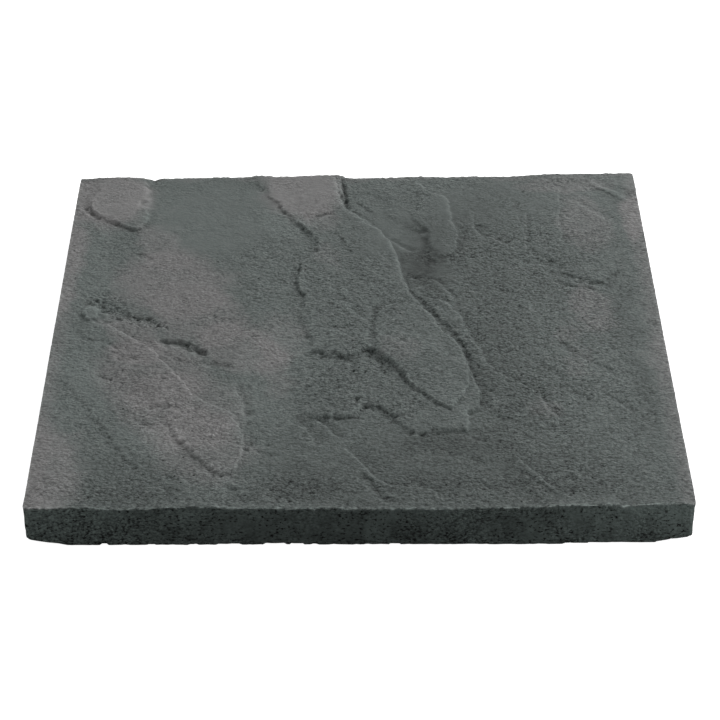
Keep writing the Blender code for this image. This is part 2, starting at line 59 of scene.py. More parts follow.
# The upper edge along the back and the front, as (x, z). The face runs into it over EDGE_BLEND.
EDGE_BLEND = 16
BACK_EDGE = [
    (-225, 29.6), (-214, 30.9), (-196, 31.7), (-180, 31.5), (-171, 30.2), (-165, 29.4), (-158, 30.4),
    (-130, 31), (-90, 31.5), (-84, 32.5), (-78, 33.1), (-66, 31.9), (-50, 32.4), (-30, 33.2), (-15, 33.4),
    (-9, 30.9), (-2, 30.1), (15, 30.7), (35, 31), (42, 31.7), (60, 31.7), (72, 31.3), (86, 31.5), (93, 32.2),
    (101, 31.6), (125, 31.6), (142, 33.1), (156, 33.9), (190, 34.2), (215, 34.8), (225, 34.4),
]
FRONT_EDGE = [
    (-225, 32.9), (-180, 32.9), (-171, 32), (-165, 31.2), (-147, 31.9), (-135, 33), (-115, 33.5),
    (-95, 33.4), (-86, 32), (-70, 32.5), (-54, 32.4), (-46, 31.6), (-36, 32.2), (-16, 32.2), (-9, 31.3),
    (20, 31.3), (28, 32.1), (40, 31.7), (62, 31.2), (78, 32.3), (92, 31.8), (105, 32.6), (125, 33.3),
    (136, 34.1), (170, 34.8), (176, 33.4), (190, 35.1), (210, 35.5), (217, 35.9), (225, 34.6),
]

CLEAVAGE_ANGLE = -0.95  # radians from +X: the way the split stone's grain runs
GRAIN_STRETCH = 3.0  # its swells are this much longer than wide

# Each plate: how far it stands proud (a hollow's is negative), then its outline as (x, y, ramp). The plate
# reaches its full height this ramp inside the outline: about 2 is a broken edge, 20 or more fades out.
PLATES = {
    "back_left_corner": (2, [
        (-217, 232, 22), (-217, 205, 20), (-217, 186, 9), (-215, 174, 3), (-210, 164, 3), (-205, 158, 4),
        (-199, 152, 8), (-192, 149, 5), (-185, 145, 3.5), (-177, 140, 3), (-169, 141, 4.5), (-165, 149, 3.5),
        (-163, 160, 6), (-162, 175, 8), (-163, 190, 8), (-165, 203, 6), (-169, 214, 2.5), (-172, 232, 2.5),
    ]),
    "centre": (2.1, [
        (-89, 232, 3), (-85, 222, 3), (-81, 210, 3.5), (-77, 203, 4), (-72, 193, 4), (-66, 183, 4),
        (-61, 174, 3.5), (-57, 166, 3.5), (-54, 158, 5), (-50, 151, 4), (-45, 144, 2.5), (-41, 138, 3),
        (-38, 131, 4), (-35, 122, 3.5), (-34, 113, 3.5), (-31, 106, 3), (-36, 101, 1.5), (-41, 95, 1.5),
        (-44, 88, 2), (-46, 77, 3), (-48, 66, 3), (-47, 57, 3), (-45, 49, 2), (-41, 43, 3), (-43, 32, 8),
        (-46, 20, 9), (-44, 8, 8), (-41, -5, 8), (-38, -18, 9), (-36, -28, 7), (-38, -37, 5), (-28, -40, 6),
        (-18, -43, 6), (-10, -46, 6), (-2, -47, 5), (2, -42, 5), (7, -37, 5), (12, -41, 6), (19, -49, 5),
        (25, -59, 4.5), (30, -68, 3.5), (33, -78, 3), (38, -85, 3), (44, -92, 2.5), (49, -101, 2.5),
        (57, -107, 2.5), (66, -113, 2.5), (71, -105, 2), (76, -94, 2), (80, -83, 2), (80, -72, 1.8),
        (81, -60, 1.8), (80, -50, 1.8), (77, -38, 1.8), (74, -28, 1.8), (70, -20, 1.8), (65, -12, 1.8),
        (60, -3, 1.8), (58, 8, 1.8), (53, 18, 1.8), (47, 30, 1.8), (42, 40, 1.8), (38, 52, 1.8), (36, 66, 2),
        (34, 82, 2), (32, 98, 2), (29, 112, 2), (27, 121, 2.5), (22, 132, 3), (17, 142, 3.5), (10, 152, 3.5),
        (0, 163, 3), (-9, 173, 2.5), (-11, 185, 2), (-14, 197, 2), (-15, 210, 2), (-16, 232, 1.5),
    ]),
    "centre_cap": (0.5, [
        (-86, 232, 5), (-79, 208, 6), (-69, 190, 5), (-60, 174, 5), (-56, 160, 8), (-46, 155, 8),
        (-38, 159, 5), (-30, 162, 1.5), (-20, 166, 1.5), (-12, 173, 4), (-13, 190, 3), (-16, 210, 2),
        (-17, 232, 2),
    ]),
    "cap_fall": (-1.1, [
        (-91, 236, 3), (-85, 222, 3), (-77, 203, 3.5), (-66, 183, 4), (-57, 166, 4), (-49, 150, 4),
        (-38, 150, 20), (-28, 175, 30), (-25, 200, 30), (-30, 236, 30),
    ]),
    "centre_lobe": (0.7, [
        (16, 18, 2.5), (20, 25, 2), (26, 29, 2), (36, 29, 2), (46, 26, 2), (52, 18, 2), (58, 8, 2),
        (60, -3, 2), (65, -12, 2), (70, -20, 2), (74, -28, 2), (77, -38, 2), (80, -50, 2), (81, -60, 2),
        (80, -72, 2), (80, -83, 2), (76, -94, 2), (71, -105, 2), (66, -113, 2.5), (57, -107, 2.5),
        (49, -101, 2.5), (44, -92, 3), (38, -85, 3), (33, -78, 3), (30, -68, 3.5), (25, -59, 4.5),
        (19, -49, 5), (13, -40, 5), (11, -25, 6), (12, -10, 3), (14, 5, 3),
    ]),
    "lobe_fall": (-1.1, [
        (33, -78, 3), (38, -85, 3), (44, -92, 2.5), (49, -101, 2.5), (57, -107, 2.5), (66, -113, 2.5),
        (71, -105, 2), (76, -94, 2), (80, -83, 4), (80, -70, 15), (70, -50, 35), (50, -45, 35),
        (36, -60, 20),
    ]),
    "middle_shelf": (2.1, [
        (-44, -100, 20), (-41, -112, 6), (-36, -119, 5), (-26, -122, 6), (-15, -121, 5), (-4, -119, 5),
        (2, -113, 4.5), (5, -106, 3.5), (12, -107, 4.5), (19, -112, 4), (24, -119, 4), (27, -129, 5),
        (31, -138, 6), (38, -145, 8), (48, -144, 8), (58, -140, 8), (70, -138, 7), (77, -139, 5),
        (79, -127, 3), (78, -116, 2), (86, -112, 2), (87, -100, 2), (87, -88, 2), (85, -76, 2), (83, -64, 2),
        (60, -20, 20), (20, 0, 25), (-20, 0, 30), (-62, -40, 30), (-62, -80, 30),
    ]),
    "valley": (-1.2, [
        (-15, 232, 1.5), (-13, 200, 1.5), (-11, 185, 1.5), (-10, 174, 2), (-2, 163, 3), (8, 152, 3.5),
        (15, 142, 3.5), (25, 121, 2), (29, 105, 1.5), (32, 85, 1.5), (34, 66, 1.5), (38, 50, 3), (52, 52, 8),
        (62, 72, 10), (66, 90, 8), (58, 98, 5), (55, 115, 4), (57, 131, 3), (50, 142, 5), (41, 155, 12),
        (35, 180, 20), (28, 205, 25), (12, 232, 20),
    ]),
    "right_tongue": (1.3, [
        (50, 232, 12), (53, 215, 6), (56, 202, 3), (62, 199, 3), (69, 194, 3), (74, 186, 2.5),
        (76, 175, 2.5), (77, 165, 3), (76, 152, 3), (78, 143, 2.5), (80, 133, 2.5), (80, 122, 2.5),
        (78, 110, 2.5), (74, 100, 3), (67, 95, 8), (60, 96, 8), (55, 108, 7), (54, 120, 7), (55, 132, 6),
        (49, 143, 6), (43, 155, 9), (38, 175, 15), (38, 205, 15),
    ]),
    "left_plate": (1.5, [
        (-205, 12, 8), (-192, 6, 3), (-184, 2, 2), (-175, -6, 2), (-168, -13, 2), (-161, -20, 2),
        (-153, -28, 2), (-149, -34, 2), (-144, -42, 2), (-138, -50, 2), (-132, -60, 2), (-127, -69, 2),
        (-122, -80, 2), (-118, -89, 2), (-112, -95, 2), (-104, -102, 2), (-97, -107, 2), (-90, -110, 2),
        (-86, -118, 2), (-83, -130, 2), (-80, -140, 2), (-79, -155, 2), (-79, -170, 2.5), (-82, -180, 3),
        (-88, -186, 3), (-95, -188, 2.5), (-102, -184, 2.5), (-108, -176, 3), (-115, -165, 3),
        (-122, -154, 3), (-128, -146, 3), (-133, -134, 8), (-150, -110, 25), (-185, -60, 30),
        (-215, -20, 30),
    ]),
    "left_pebble": (2, [
        (-206, 26, 2), (-202, 31, 2), (-196, 29, 2), (-193, 21, 1.5), (-193, 10, 1.5), (-198, 6, 2),
        (-204, 8, 2), (-207, 17, 2),
    ]),
    "left_terrace": (0.8, [
        (-232, -62, 20), (-212, -80, 9), (-201, -93, 5), (-192, -107, 5), (-188, -120, 4), (-183, -127, 4),
        (-177, -138, 4), (-174, -147, 4), (-169, -157, 4), (-163, -168, 5), (-155, -177, 7), (-147, -190, 8),
        (-134, -197, 14), (-112, -200, 18), (-92, -190, 20), (-90, -150, 20), (-112, -110, 20),
        (-142, -60, 20), (-182, -20, 20), (-232, 5, 20),
    ]),
    "right_step": (0.6, [
        (38, 70, 3), (50, 69, 2), (56, 66, 2), (62, 62, 2), (66, 54, 2), (70, 47, 2), (73, 36, 2),
        (76, 20, 8), (60, 20, 10), (44, 36, 6), (38, 52, 3),
    ]),
    "right_shelf": (1.2, [
        (44, 42, 3), (52, 38, 2), (60, 36, 2), (67, 31, 2), (73, 21, 2), (77, 13, 2), (80, 3, 2),
        (83, -13, 2.5), (87, -25, 2.5), (92, -36, 2.5), (95, -52, 2), (100, -62, 2), (112, -75, 1.5),
        (120, -82, 1.5), (128, -90, 1.5), (131, -100, 1.5), (136, -112, 2), (141, -123, 3), (143, -134, 12),
        (130, -138, 18), (115, -138, 18), (106, -132, 18), (98, -126, 15), (92, -114, 10), (90, -98, 8),
        (84, -60, 8), (76, -28, 8), (62, 2, 8),
    ]),
    "back_right_corner": (1.2, [
        (160, 232, 25), (170, 218, 15), (181, 209, 6), (189, 204, 3), (196, 197, 2.5), (202, 188, 3),
        (209, 180, 6), (218, 174, 14), (236, 170, 20), (236, 232, 2),
    ]),
    "back_right_shelf": (0.8, [
        (134, 232, 14), (131, 160, 10), (131, 110, 10), (142, 98, 6), (152, 90, 4), (158, 78, 4),
        (164, 62, 4), (172, 54, 4), (184, 56, 6), (200, 66, 12), (232, 80, 25), (232, 232, 20),
    ]),
    "back_right_step": (0.5, [
        (88, 172, 8), (94, 168, 2), (94, 152, 2), (93, 144, 2), (97, 130, 2), (105, 127, 2), (115, 118, 2),
        (122, 100, 6), (100, 92, 15), (82, 110, 12), (82, 150, 10),
    ]),
    "front_right_ridge": (1.4, [
        (108, -166, 4), (113, -174, 2), (119, -183, 2), (124, -193, 2), (130, -202, 2), (137, -210, 2),
        (143, -215, 2), (149, -223, 2), (152, -232, 2), (120, -232, 8), (112, -210, 14), (98, -185, 14),
    ]),
    "front_right_corner": (0.9, [
        (182, -232, 6), (180, -215, 8), (186, -190, 12), (200, -165, 15), (232, -140, 20), (232, -232, 2),
    ]),
}

# Each ledge: its drop, its width, the further width over which the low side comes back up, and its line as
# (x, y), with the low side on its right.
LEDGES = {
    # Facing the front and the left.
    "left_scar": (1.5, 9, 10, [
        (-206, 47), (-196, 41), (-188, 35), (-180, 29), (-172, 22), (-162, 18), (-153, 16), (-147, 8),
        (-140, 1),
    ]),
    "left_pocket": (2.6, 3.5, 12, [
        (-150, -19), (-145, -16), (-137, -15), (-131, -16), (-124, -20), (-116, -25), (-110, -30),
        (-108, -40),
    ]),
    "left_notch": (1.4, 6, 8, [(-114, -38), (-107, -42), (-98, -46), (-86, -47)]),
    "left_flake": (0.8, 3, 8, [(-178, 108), (-168, 107), (-160, 104), (-155, 93)]),
    "left_edge_flake": (0.6, 3, 8, [(-208, -11), (-198, -16), (-186, -18)]),
    "left_flake_2": (0.7, 2.5, 8, [(-191, -61), (-184, -65), (-174, -71)]),
    "left_flake_3": (0.6, 3, 8, [(-169, -57), (-160, -60), (-149, -65)]),
    "left_flake_4": (0.7, 2.5, 7, [(-147, -101), (-138, -104), (-126, -105)]),
    "centre_groove": (2.6, 5, 1.5, [(-7, 240), (-7, 212), (-6, 198), (-4, 186), (-1, 173)]),
    "centre_front": (1.1, 3.5, 9, [(-42, -37), (-28, -38), (-12, -43), (-1, -45)]),
    "centre_front_2": (1.3, 5, 9, [(2, -37), (11, -39), (18, -48), (24, -58), (30, -72)]),
    "cap_crease": (0.9, 2.5, 5, [(-37, 160), (-29, 163), (-18, 167)]),
    "valley_crease": (0.8, 3.5, 6, [(1, 189), (7, 181), (16, 170)]),
    "centre_crease": (0.7, 2.5, 10, [(-15, 137), (-10, 124), (-6, 112), (-1, 100)]),
    "centre_hollow": (0.75, 3, 5, [(14, 36), (15, 20), (15, 5), (13, -12), (14, -24)]),
    "shelf_crease": (0.8, 2, 6, [(0, -50), (-2, -60), (-2, -70)]),
    "foot_groove": (0.7, 3, 4, [(53, 30), (61, 12), (71, -6), (79, -26), (83, -50), (83, -62)]),
    "tongue_foot": (0.6, 4, 8, [(60, 124), (59, 114), (58, 104)]),
    "right_flake": (1.1, 5, 9, [(146, -17), (153, -24), (160, -32), (170, -41)]),
    "right_flake_2": (1, 3, 8, [(166, -43), (174, -50), (180, -56), (188, -61)]),
    "right_flake_3": (0.9, 3, 8, [(148, -74), (154, -82), (161, -92), (170, -99)]),
    "right_flake_4": (0.9, 4, 8, [(104, 55), (111, 52), (118, 49), (126, 45)]),
    "right_flake_5": (0.9, 4, 8, [(133, -46), (141, -56), (148, -64), (156, -71)]),
    "right_crease": (1, 3.5, 8, [(143, 86), (152, 79), (163, 71), (175, 66), (187, 59), (196, 52)]),
    "right_crease_2": (0.9, 3, 6, [(148, 70), (156, 63), (164, 57), (174, 53), (184, 49)]),
    "right_blob": (1.1, 4, 9, [(146, 99), (151, 93), (157, 88), (163, 87)]),
    "front_crease": (1.1, 3, 6, [(-90, -194), (-84, -201), (-78, -209), (-72, -222)]),
    "side_crease": (0.8, 4, 6, [(-84, -105), (-76, -107), (-66, -107)]),
    "front_hollow": (1.2, 4, 7, [(3, -180), (9, -190), (15, -201), (22, -211), (36, -218)]),
    "ridge_back": (0.8, 3, 6, [(114, -182), (121, -194), (128, -204), (135, -212), (141, -217), (147, -226)]),
    "front_flake": (0.6, 2, 9, [(75, -165), (82, -167), (86, -172), (88, -180)]),
    "back_streak": (0.5, 3, 6, [(131, 188), (131, 176), (133, 166)]),
    # Most of these face the back or the right.
    "left_fin": (0.9, 2, 8, [(-145, -136), (-154, -128), (-163, -118)]),
    "left_branch": (0.6, 2, 8, [(-114, -54), (-126, -50), (-136, -44), (-146, -35)]),
    "plate_side": (1.1, 2.5, 10, [(-81, -120), (-84, -100), (-89, -76)]),
    "left_short": (0.5, 2, 8, [(-82, -42), (-98, -29)]),
    "front_fin": (0.6, 2, 8, [(-64, -170), (-72, -158), (-81, -148)]),
    "front_line": (1, 3, 12, [(-31, -154), (-33, -142), (-40, -131), (-52, -121)]),
    "front_line_2": (1.1, 2.5, 8, [(-14, -146), (-17, -140), (-22, -131), (-31, -121)]),
    "front_centre": (1.2, 2, 22, [
        (52, -216), (52, -208), (46, -203), (34, -201), (21, -200), (13, -192), (5, -180), (-3, -167),
        (-12, -154),
    ]),
    "front_short": (0.6, 2, 6, [(-39, -210), (-49, -200)]),
    "right_ridge": (0.75, 2.5, 12, [(158, 112), (160, 160), (163, 204)]),
    "corner_streak": (0.7, 2, 5, [(160, 211), (165, 206), (172, 202)]),
    "right_ridge_2": (0.7, 2, 8, [(131, 108), (133, 145), (134, 164)]),
    "right_short": (0.7, 2, 8, [(178, 47), (170, 52), (162, 60)]),
    "right_short_2": (0.9, 2.5, 8, [(194, -119), (187, -110), (180, -101), (170, -91)]),
    "right_arc": (0.9, 4, 10, [(150, 77), (142, 83), (130, 86), (123, 92), (117, 101)]),
    "right_step_line": (0.9, 2, 14, [(118, 115), (110, 121), (103, 127), (97, 129), (93, 136), (92, 150)]),
    "front_ridge_line": (0.6, 2, 7, [(92, -150), (80, -149), (72, -143)]),
    "corner_line": (0.6, 2, 9, [(198, 148), (186, 164), (174, 180), (166, 188)]),
    "step_line": (0.5, 2, 6, [(50, 62), (38, 70)]),
    "valley_branch": (0.8, 2, 6, [(44, 106), (37, 112), (31, 119), (24, 129)]),
    "corner_lip": (0.8, 5, 12, [(219, 176), (211, 186), (203, 195), (194, 205), (184, 214)]),
    "centre_line": (0.75, 2, 8, [(8, 0), (-1, 14), (-9, 26)]),
    "shelf_rim": (0.75, 1.5, 8, [
        (142, -125), (136, -112), (131, -100), (128, -90), (120, -82), (112, -75), (101, -63),
    ]),
    "shelf_rim_back": (0.6, 1.5, 6, [
        (88, -30), (84, -13), (80, 3), (77, 13), (73, 21), (67, 31), (60, 36), (52, 38), (45, 41),
    ]),
    "step_rim": (0.6, 1.5, 5, [(73, 36), (70, 46), (65, 55), (60, 62), (54, 67)]),
    "lobe_rim": (0.75, 2, 7, [(40, 31), (33, 29), (26, 27), (20, 21), (15, 12)]),
    "centre_flake": (0.6, 2.5, 7, [(-24, 2), (-16, -1), (-8, 0), (0, 2)]),
}

# Pits, and spots where a broken edge has crumbled: x, y, radius, depth.
PITS = [
    # The back left corner.
    (-215, 174, 4, 1.8), (-211, 165, 3, 1.2), (-205, 159, 3, 1), (-190, 149, 3.5, 1), (-178, 141, 3, 0.6),
    (-165, 144, 3, 0.7), (-165, 222, 6, 1.4), (-180, 181, 2, 0.4),
    # The left scar and its pocket.
    (-198, 38, 3, 1.2), (-191, 35, 3, 1.2), (-191, 22, 3.5, 1.5), (-190, 12, 3, 0.8), (-186, 31, 3, 1.2),
    (-181, 26, 3.5, 1.3), (-172, 18, 3, 1.2), (-164, 12, 3, 1.2), (-156, 12, 3.5, 1.4), (-148, 2, 3, 1.2),
    (-142, 0, 2.5, 1), (-141, -19, 2.5, 0.7), (-117, -31, 4, 1.2), (-114, -34, 4, 0.8),
    # The left plate and the terrace.
    (-124, -150, 3, 1.2), (-115, -161, 3, 1.2), (-110, -169, 2.5, 0.9), (-105, -176, 2.5, 1.2),
    (-101, -182, 3, 1.2), (-94, -187, 3, 1), (-78, -157, 3.5, 1.2), (-84, -202, 3, 1.2), (-78, -209, 3, 1.2),
    (-74, -216, 3, 1.2), (-171, -145, 3, 1.2), (-169, -157, 3, 1), (-162, -166, 3, 0.9),
    (-153, -178, 3, 0.8), (-147, -108, 3.5, 0.9), (-137, -119, 4, 0.8), (-190, -109, 2.5, 0.8),
    (-200, -95, 3, 0.6), (-64, -152, 3, 0.9), (-56, -127, 4.5, 1.1), (-77, -126, 4.5, 0.9),
    (-97, -104, 3, 0.5), (-82, 6, 2.5, 0.7),
    # The middle's left edge.
    (-84, 221, 3, 0.8), (-77, 204, 3, 0.8), (-62, 176, 3, 0.8), (-58, 167, 3, 1), (-53, 155, 3, 0.6),
    (-43, 142, 3, 0.9), (-33, 118, 2.5, 0.6), (-45, 88, 2.5, 0.5), (-48, 60, 3, 0.8), (-41, 44, 3.5, 0.8),
    (-11, 205, 3.5, 1.4), (-8, 189, 3.5, 1.6), (-7, 175, 2.5, 0.8),
    # The middle's front edge.
    (-27, -38, 3, 0.8), (-18, -39, 3.5, 1), (-13, -42, 3, 1.2), (-5, -43, 4, 1.4), (-3, -62, 2.5, 1.4),
    (11, -38, 4.5, 1.8), (21, -49, 4, 0.8), (31, -68, 2.5, 1.2), (38, -83, 2.5, 1.2), (43, -87, 2.5, 1.2),
    (47, -94, 2.5, 1.2), (50, -99, 2, 1), (58, -106, 2.5, 0.8), (65, -112, 2.5, 1), (14, 22, 5, 0.9),
    (11, 4, 5, 0.8), (11, -20, 4, 0.5),
    # The shelf in front of it.
    (-24, -119, 3, 1.5), (-16, -119, 3.5, 1.4), (-7, -118, 2.5, 0.9), (3, -111, 2.5, 0.9), (5, -106, 3, 1.2),
    (15, -108, 3, 1.2), (23, -113, 3, 1.4), (27, -119, 3, 1.4), (37, -139, 4, 1.4), (44, -141, 3, 1.2),
    (55, -140, 3, 0.9), (70, -134, 5, 0.4), (-1, -98, 3, 2.2), (-12, -145, 3, 0.4),
    # The middle's right edge.
    (72, -12, 2.5, 0.7), (76, -25, 2, 0.7), (80, -41, 3, 1.5), (83, -67, 3, 1.5), (84, -78, 3, 1.2),
    (90, -82, 3, 1), (94, -88, 2.5, 0.8), (52, 139, 8, 0.7), (52, 138, 5, 0.5), (73, 93, 4, 0.5),
    (71, 50, 3, 0.6),
    # Small ones at both sides.
    (-188, -20, 2.5, 0.9), (-211, -24, 2.5, 0.7), (-196, -19, 2, 0.6), (-184, -31, 2, 0.7),
    (-183, -49, 2, 0.8), (-183, -67, 2.5, 1), (-178, -72, 2, 0.9), (-170, -76, 2, 0.7), (-192, -81, 2, 0.6),
    (-185, -120, 3, 0.5), (-181, -127, 2.5, 0.9), (-174, -141, 2.5, 1), (129, 178, 2, 0.8),
    (134, 198, 2, 0.8), (122, 24, 2.5, 0.9),
    # The right and the front.
    (103, -122, 3.5, 0.8), (101, -103, 3, 0.6), (118, -132, 4, 0.5), (134, -130, 4, 0.4),
    (106, -123, 4, 0.5), (121, 21, 2, 0.7), (174, 97, 3, 0.7), (155, 90, 4, 0.5), (147, -8, 3, 0.6),
    (133, 198, 3, 0.6), (218, 0, 6, 0.9), (82, -174, 7, 0.4), (124, -209, 5, 0.8), (2, -190, 3, 0.4),
    (7, -199, 3, 0.4),
]

# Areas of the face with a warm bloom, and paler or darker ones: x, y, half length, half width, angle from +X
# in degrees, strength.
WARM_PATCHES = [
    (-194, 190, 48, 30, 90, 1), (-45, 200, 44, 34, 105, 1), (-30, 158, 20, 12, 110, 0.4),
    (-154, 118, 38, 18, 110, 0.6), (-140, 62, 46, 44, 100, 0.85), (-118, 15, 45, 34, -50, 0.65),
    (-84, -32, 40, 26, -50, 0.6), (-57, -15, 35, 20, 90, 0.35), (-167, -15, 34, 20, 110, 0.65),
    (-150, -64, 50, 40, 100, 0.7), (-120, -110, 46, 42, -60, 0.55), (-112, -152, 46, 34, -70, 0.55),
    (-220, 112, 34, 14, 90, 0.6), (-222, 50, 34, 10, 90, 0.4), (-216, -185, 58, 30, 90, 0.75),
    (170, 208, 40, 12, 0, 0.5), (178, 152, 46, 18, 95, 0.5), (218, 152, 40, 9, 90, 0.7),
    (175, 22, 38, 16, 100, 0.55), (158, -12, 13, 10, 90, 0.3), (159, -50, 22, 12, 90, 0.25),
    (220, -50, 40, 10, 90, 0.25), (-60, -60, 40, 14, 90, 0.3), (133, -110, 15, 13, 0, 0.3),
    (-25, 100, 18, 9, 100, 0.3), (28, -35, 18, 12, -60, 0.3), (40, 226, 260, 8, 0, 0.4),
]
# The paler and darker areas below are partly the face's own tone and partly painted light and shade on its
# slopes, such as the darker valley and front strip.
TONE_PATCHES = [
    (-120, -20, 200, 80, 100, 0.09), (-45, 60, 120, 34, 95, 0.12), (-60, -60, 70, 34, 80, 0.16),
    (-212, 80, 90, 26, 90, 0.18), (-205, -100, 90, 28, 95, 0.24), (-208, -190, 40, 26, 90, 0.2),
    (-150, -150, 34, 24, 0, 0.18), (-120, 170, 60, 55, 90, 0.12), (-55, 150, 26, 18, -60, 0.17),
    (52, 100, 60, 17, 96, -0.22), (60, 80, 26, 26, 90, -0.14), (100, 175, 50, 30, 90, -0.08),
    (185, 120, 90, 40, 90, 0.05), (200, -60, 170, 34, 90, 0.12), (150, 10, 60, 22, 80, 0.12),
    (60, -85, 30, 24, 90, 0.16), (45, -25, 40, 22, 100, 0.08), (-150, -212, 40, 12, 0, -0.1),
    (20, -208, 180, 18, 0, -0.14), (60, -175, 80, 32, 0, -0.14), (40, 215, 60, 16, 0, 0.08),
    (20, 0, 60, 40, 90, 0.04), (68, 125, 50, 24, 90, -0.16), (98, 60, 140, 22, 90, -0.12),
    (104, -95, 75, 20, 90, -0.1), (76, -152, 30, 18, 0, -0.16), (-204, 40, 120, 26, 90, 0.12),
    (-208, -90, 60, 22, 90, 0.12), (-148, -128, 56, 26, -55, 0.18), (-98, -198, 24, 20, 0, 0.26),
    (-38, -196, 24, 22, 0, -0.18), (72, -96, 26, 12, 90, 0.12), (168, -80, 60, 24, 80, 0.14),
    (-197, 192, 30, 28, 0, 0.15), (-40, 200, 34, 30, 0, 0.12), (197, 20, 52, 10, 90, -0.14),
    (204, -88, 50, 9, 95, -0.14), (218, -20, 210, 9, 90, 0.12), (-90, -110, 60, 34, -55, 0.12),
    (-92, -158, 26, 18, 90, 0.12), (46, 86, 24, 12, 100, -0.2), (150, 55, 30, 24, 90, -0.1),
    (140, -186, 50, 22, 0, -0.12), (62, -128, 26, 10, 0, 0.08), (14, -84, 30, 26, 90, 0.1),
    (-199, 18, 10, 6, 90, 0.14), (190, 180, 60, 40, 120, 0.08), (160, -170, 70, 40, 90, 0.06),
    (50, 50, 24, 16, 90, -0.1), (50, -152, 34, 14, 0, -0.1), (205, 205, 26, 20, 0, 0.08),
    (-208, -205, 26, 16, 90, 0.08), (-102, -203, 24, 12, 0, 0.1), (151, -203, 30, 12, 0, -0.09),
    (151, -51, 26, 18, 90, 0.08), (40, -120, 60, 20, 0, 0.06), (-190, 180, 40, 30, 0, 0.05),
]

# Rougher or smoother areas, in the same form.
ROUGH_PATCHES = [
    (-120, 170, 70, 55, 90, -0.6), (-192, 188, 45, 26, 90, -0.4), (-46, 196, 40, 33, 100, -0.6),
    (42, 118, 62, 22, -72, -0.7), (66, 150, 60, 16, 90, -0.4), (115, 180, 50, 40, 0, -0.4),
    (0, 130, 40, 25, -60, -0.25), (-150, 60, 60, 45, 90, -0.15), (20, -180, 95, 40, 0, -0.1),
    (195, 195, 30, 25, 0, -0.4), (-90, 60, 60, 40, 90, -0.1), (135, 20, 150, 62, 90, 0.45),
    (-5, 30, 100, 36, 100, 0.35), (10, -85, 60, 40, -20, 0.55), (-185, 28, 28, 10, -32, 1),
    (-157, 8, 24, 10, -38, 1), (-140, -135, 70, 50, -40, 0.25), (-110, -205, 110, 22, 0, 0.5),
    (110, -205, 110, 20, 0, 0.3), (150, -120, 80, 60, 90, 0.3), (-60, 60, 60, 30, 90, 0.2),
]

ARRIS_WEAR = 0.25  # wear of the upper edge, over ARRIS_WIDTH
ARRIS_WIDTH = 1.6
ARRIS_BURR = 0.5  # the most that the broken burr on it stands up
BURR_GAPS = 0.1  # the more, the more gaps the burr has
UPPER_CORNER = 1.5  # plan radius of the corners at the top
LOWER_CORNER = 4.0  # and at the underside
LOWER_ROUND = 1.6  # radius of the lower edge
ROUND_LOSS = 0.6  # the share of it that is lost at the corners
CORNER_LEG = 28  # the corners are less filled below, from this far along the edge
CORNER_LIFT = 5.7  # and up to this height at the corner itself
BED_SHARE = 0.994  # the flat bed's size, against the lowest ring's

# Chips out of the lower edge along the front: x, width, height. Their ends taper over CHIP_END.
FOOT_CHIPS = [
    (-172, 3.9, 2.4), (-140, 5, 0.4), (-112, 6, 0.8), (-88, 16, 0.9), (-57, 14, 1.5), (-42, 9, 1.1),
    (-30, 4, 0.6), (24, 7, 0.8), (148, 20, 0.9), (190, 70, 1.3),
]
CHIP_END = 1.2
FRONT_STRIP = 5  # the chips reach points this near the front
FOOT_WAVE = 0.5  # the lower edge's slow waves, and its small crumbs
FOOT_WAVE_SIZE = 9
FOOT_CRUMBS = 0.5
FOOT_CRUMB_SIZE = 4
WALL_WAVE = 0.30  # the walls' slow waves
WAVE_SIZE = 20
WAVE_SQUASH = 2  # they are wider than high by this
WAVE_STEEPNESS = 6  # how soon they set in below the upper edge
WALL_TURN = 1.7  # the walls' lumps and sand are read at x + WALL_TURN * y
LUMP_SQUASH = 1.3

# Noise on the shape, each field as (strength, size of its swells, layer).
WANDER_X = [(1.0, 14, 1), (1.3, 5, 2), (0.8, 2.4, 12)]  # how far the broken edges stray from their outlines
WANDER_Y = [(1.0, 14, 3), (1.3, 5, 4), (0.8, 2.4, 13)]
CRISPNESS = 1.1  # how steep the broken edges are, against their ramps
CRISPNESS_NOISE = [(0.8, 18, 14), (0.5, 5, 15)]
CRISPNESS_RANGE = (0.5, 1.7)
GRAIN_SWELLS = [(0.20, 16, 5)]  # along the grain of the stone
FACE_SWELLS = [(0.30, 45, 6), (0.14, 9, 7)]  # running no particular way
FLAKES = [(2.4, 10, 25), (1.3, 4.5, 26)]
FLAKE_STEP = 0.13  # the height of one flake's edge
TERRACE_RISE = 0.35  # the share of a flake's step that is its edge
GRAIN_SAND = [(0.14, 3.6, 22)]
FACE_SAND = [(0.16, 4.2, 23)]
FINE_SAND = 0.16  # the finest of it, and its size
FINE_SAND_SIZE = 2.3
ROUGHNESS_NOISE = [(0.45, 22, 21)]
ROUGHNESS_RANGE = (0.25, 2.0)
WALL_LUMPS = [(0.18, 4.0, 33)]
WALL_SAND = [(0.12, 2.2, 34)]
WEAR_NOISE = [(1.3, 5, 35), (1.2, 2.2, 40)]
BURR_NOISE = [(2, 3.2, 50)]
ROUND_NOISE = [(0.5, 12, 8)]

# Noise on the colour and on the rough areas, in the same form.
BLOOM_WANDER_X = [(9, 30, 41), (4, 9, 42)]  # how far the patches stray from their ovals
BLOOM_WANDER_Y = [(9, 30, 43), (4, 9, 44)]
ROUGH_WANDER_X = [(10, 30, 46)]
ROUGH_WANDER_Y = [(10, 30, 47)]
SIDE_WANDER = [(2.5, 25, 45)]
WALL_MOTTLE = [(0.36, 18, 37), (0.252, 5, 38)]
WALL_RUNS = [(0.20, 6, 39)]
ARRIS_SPECKS = [(2.0, 2.6, 36)]

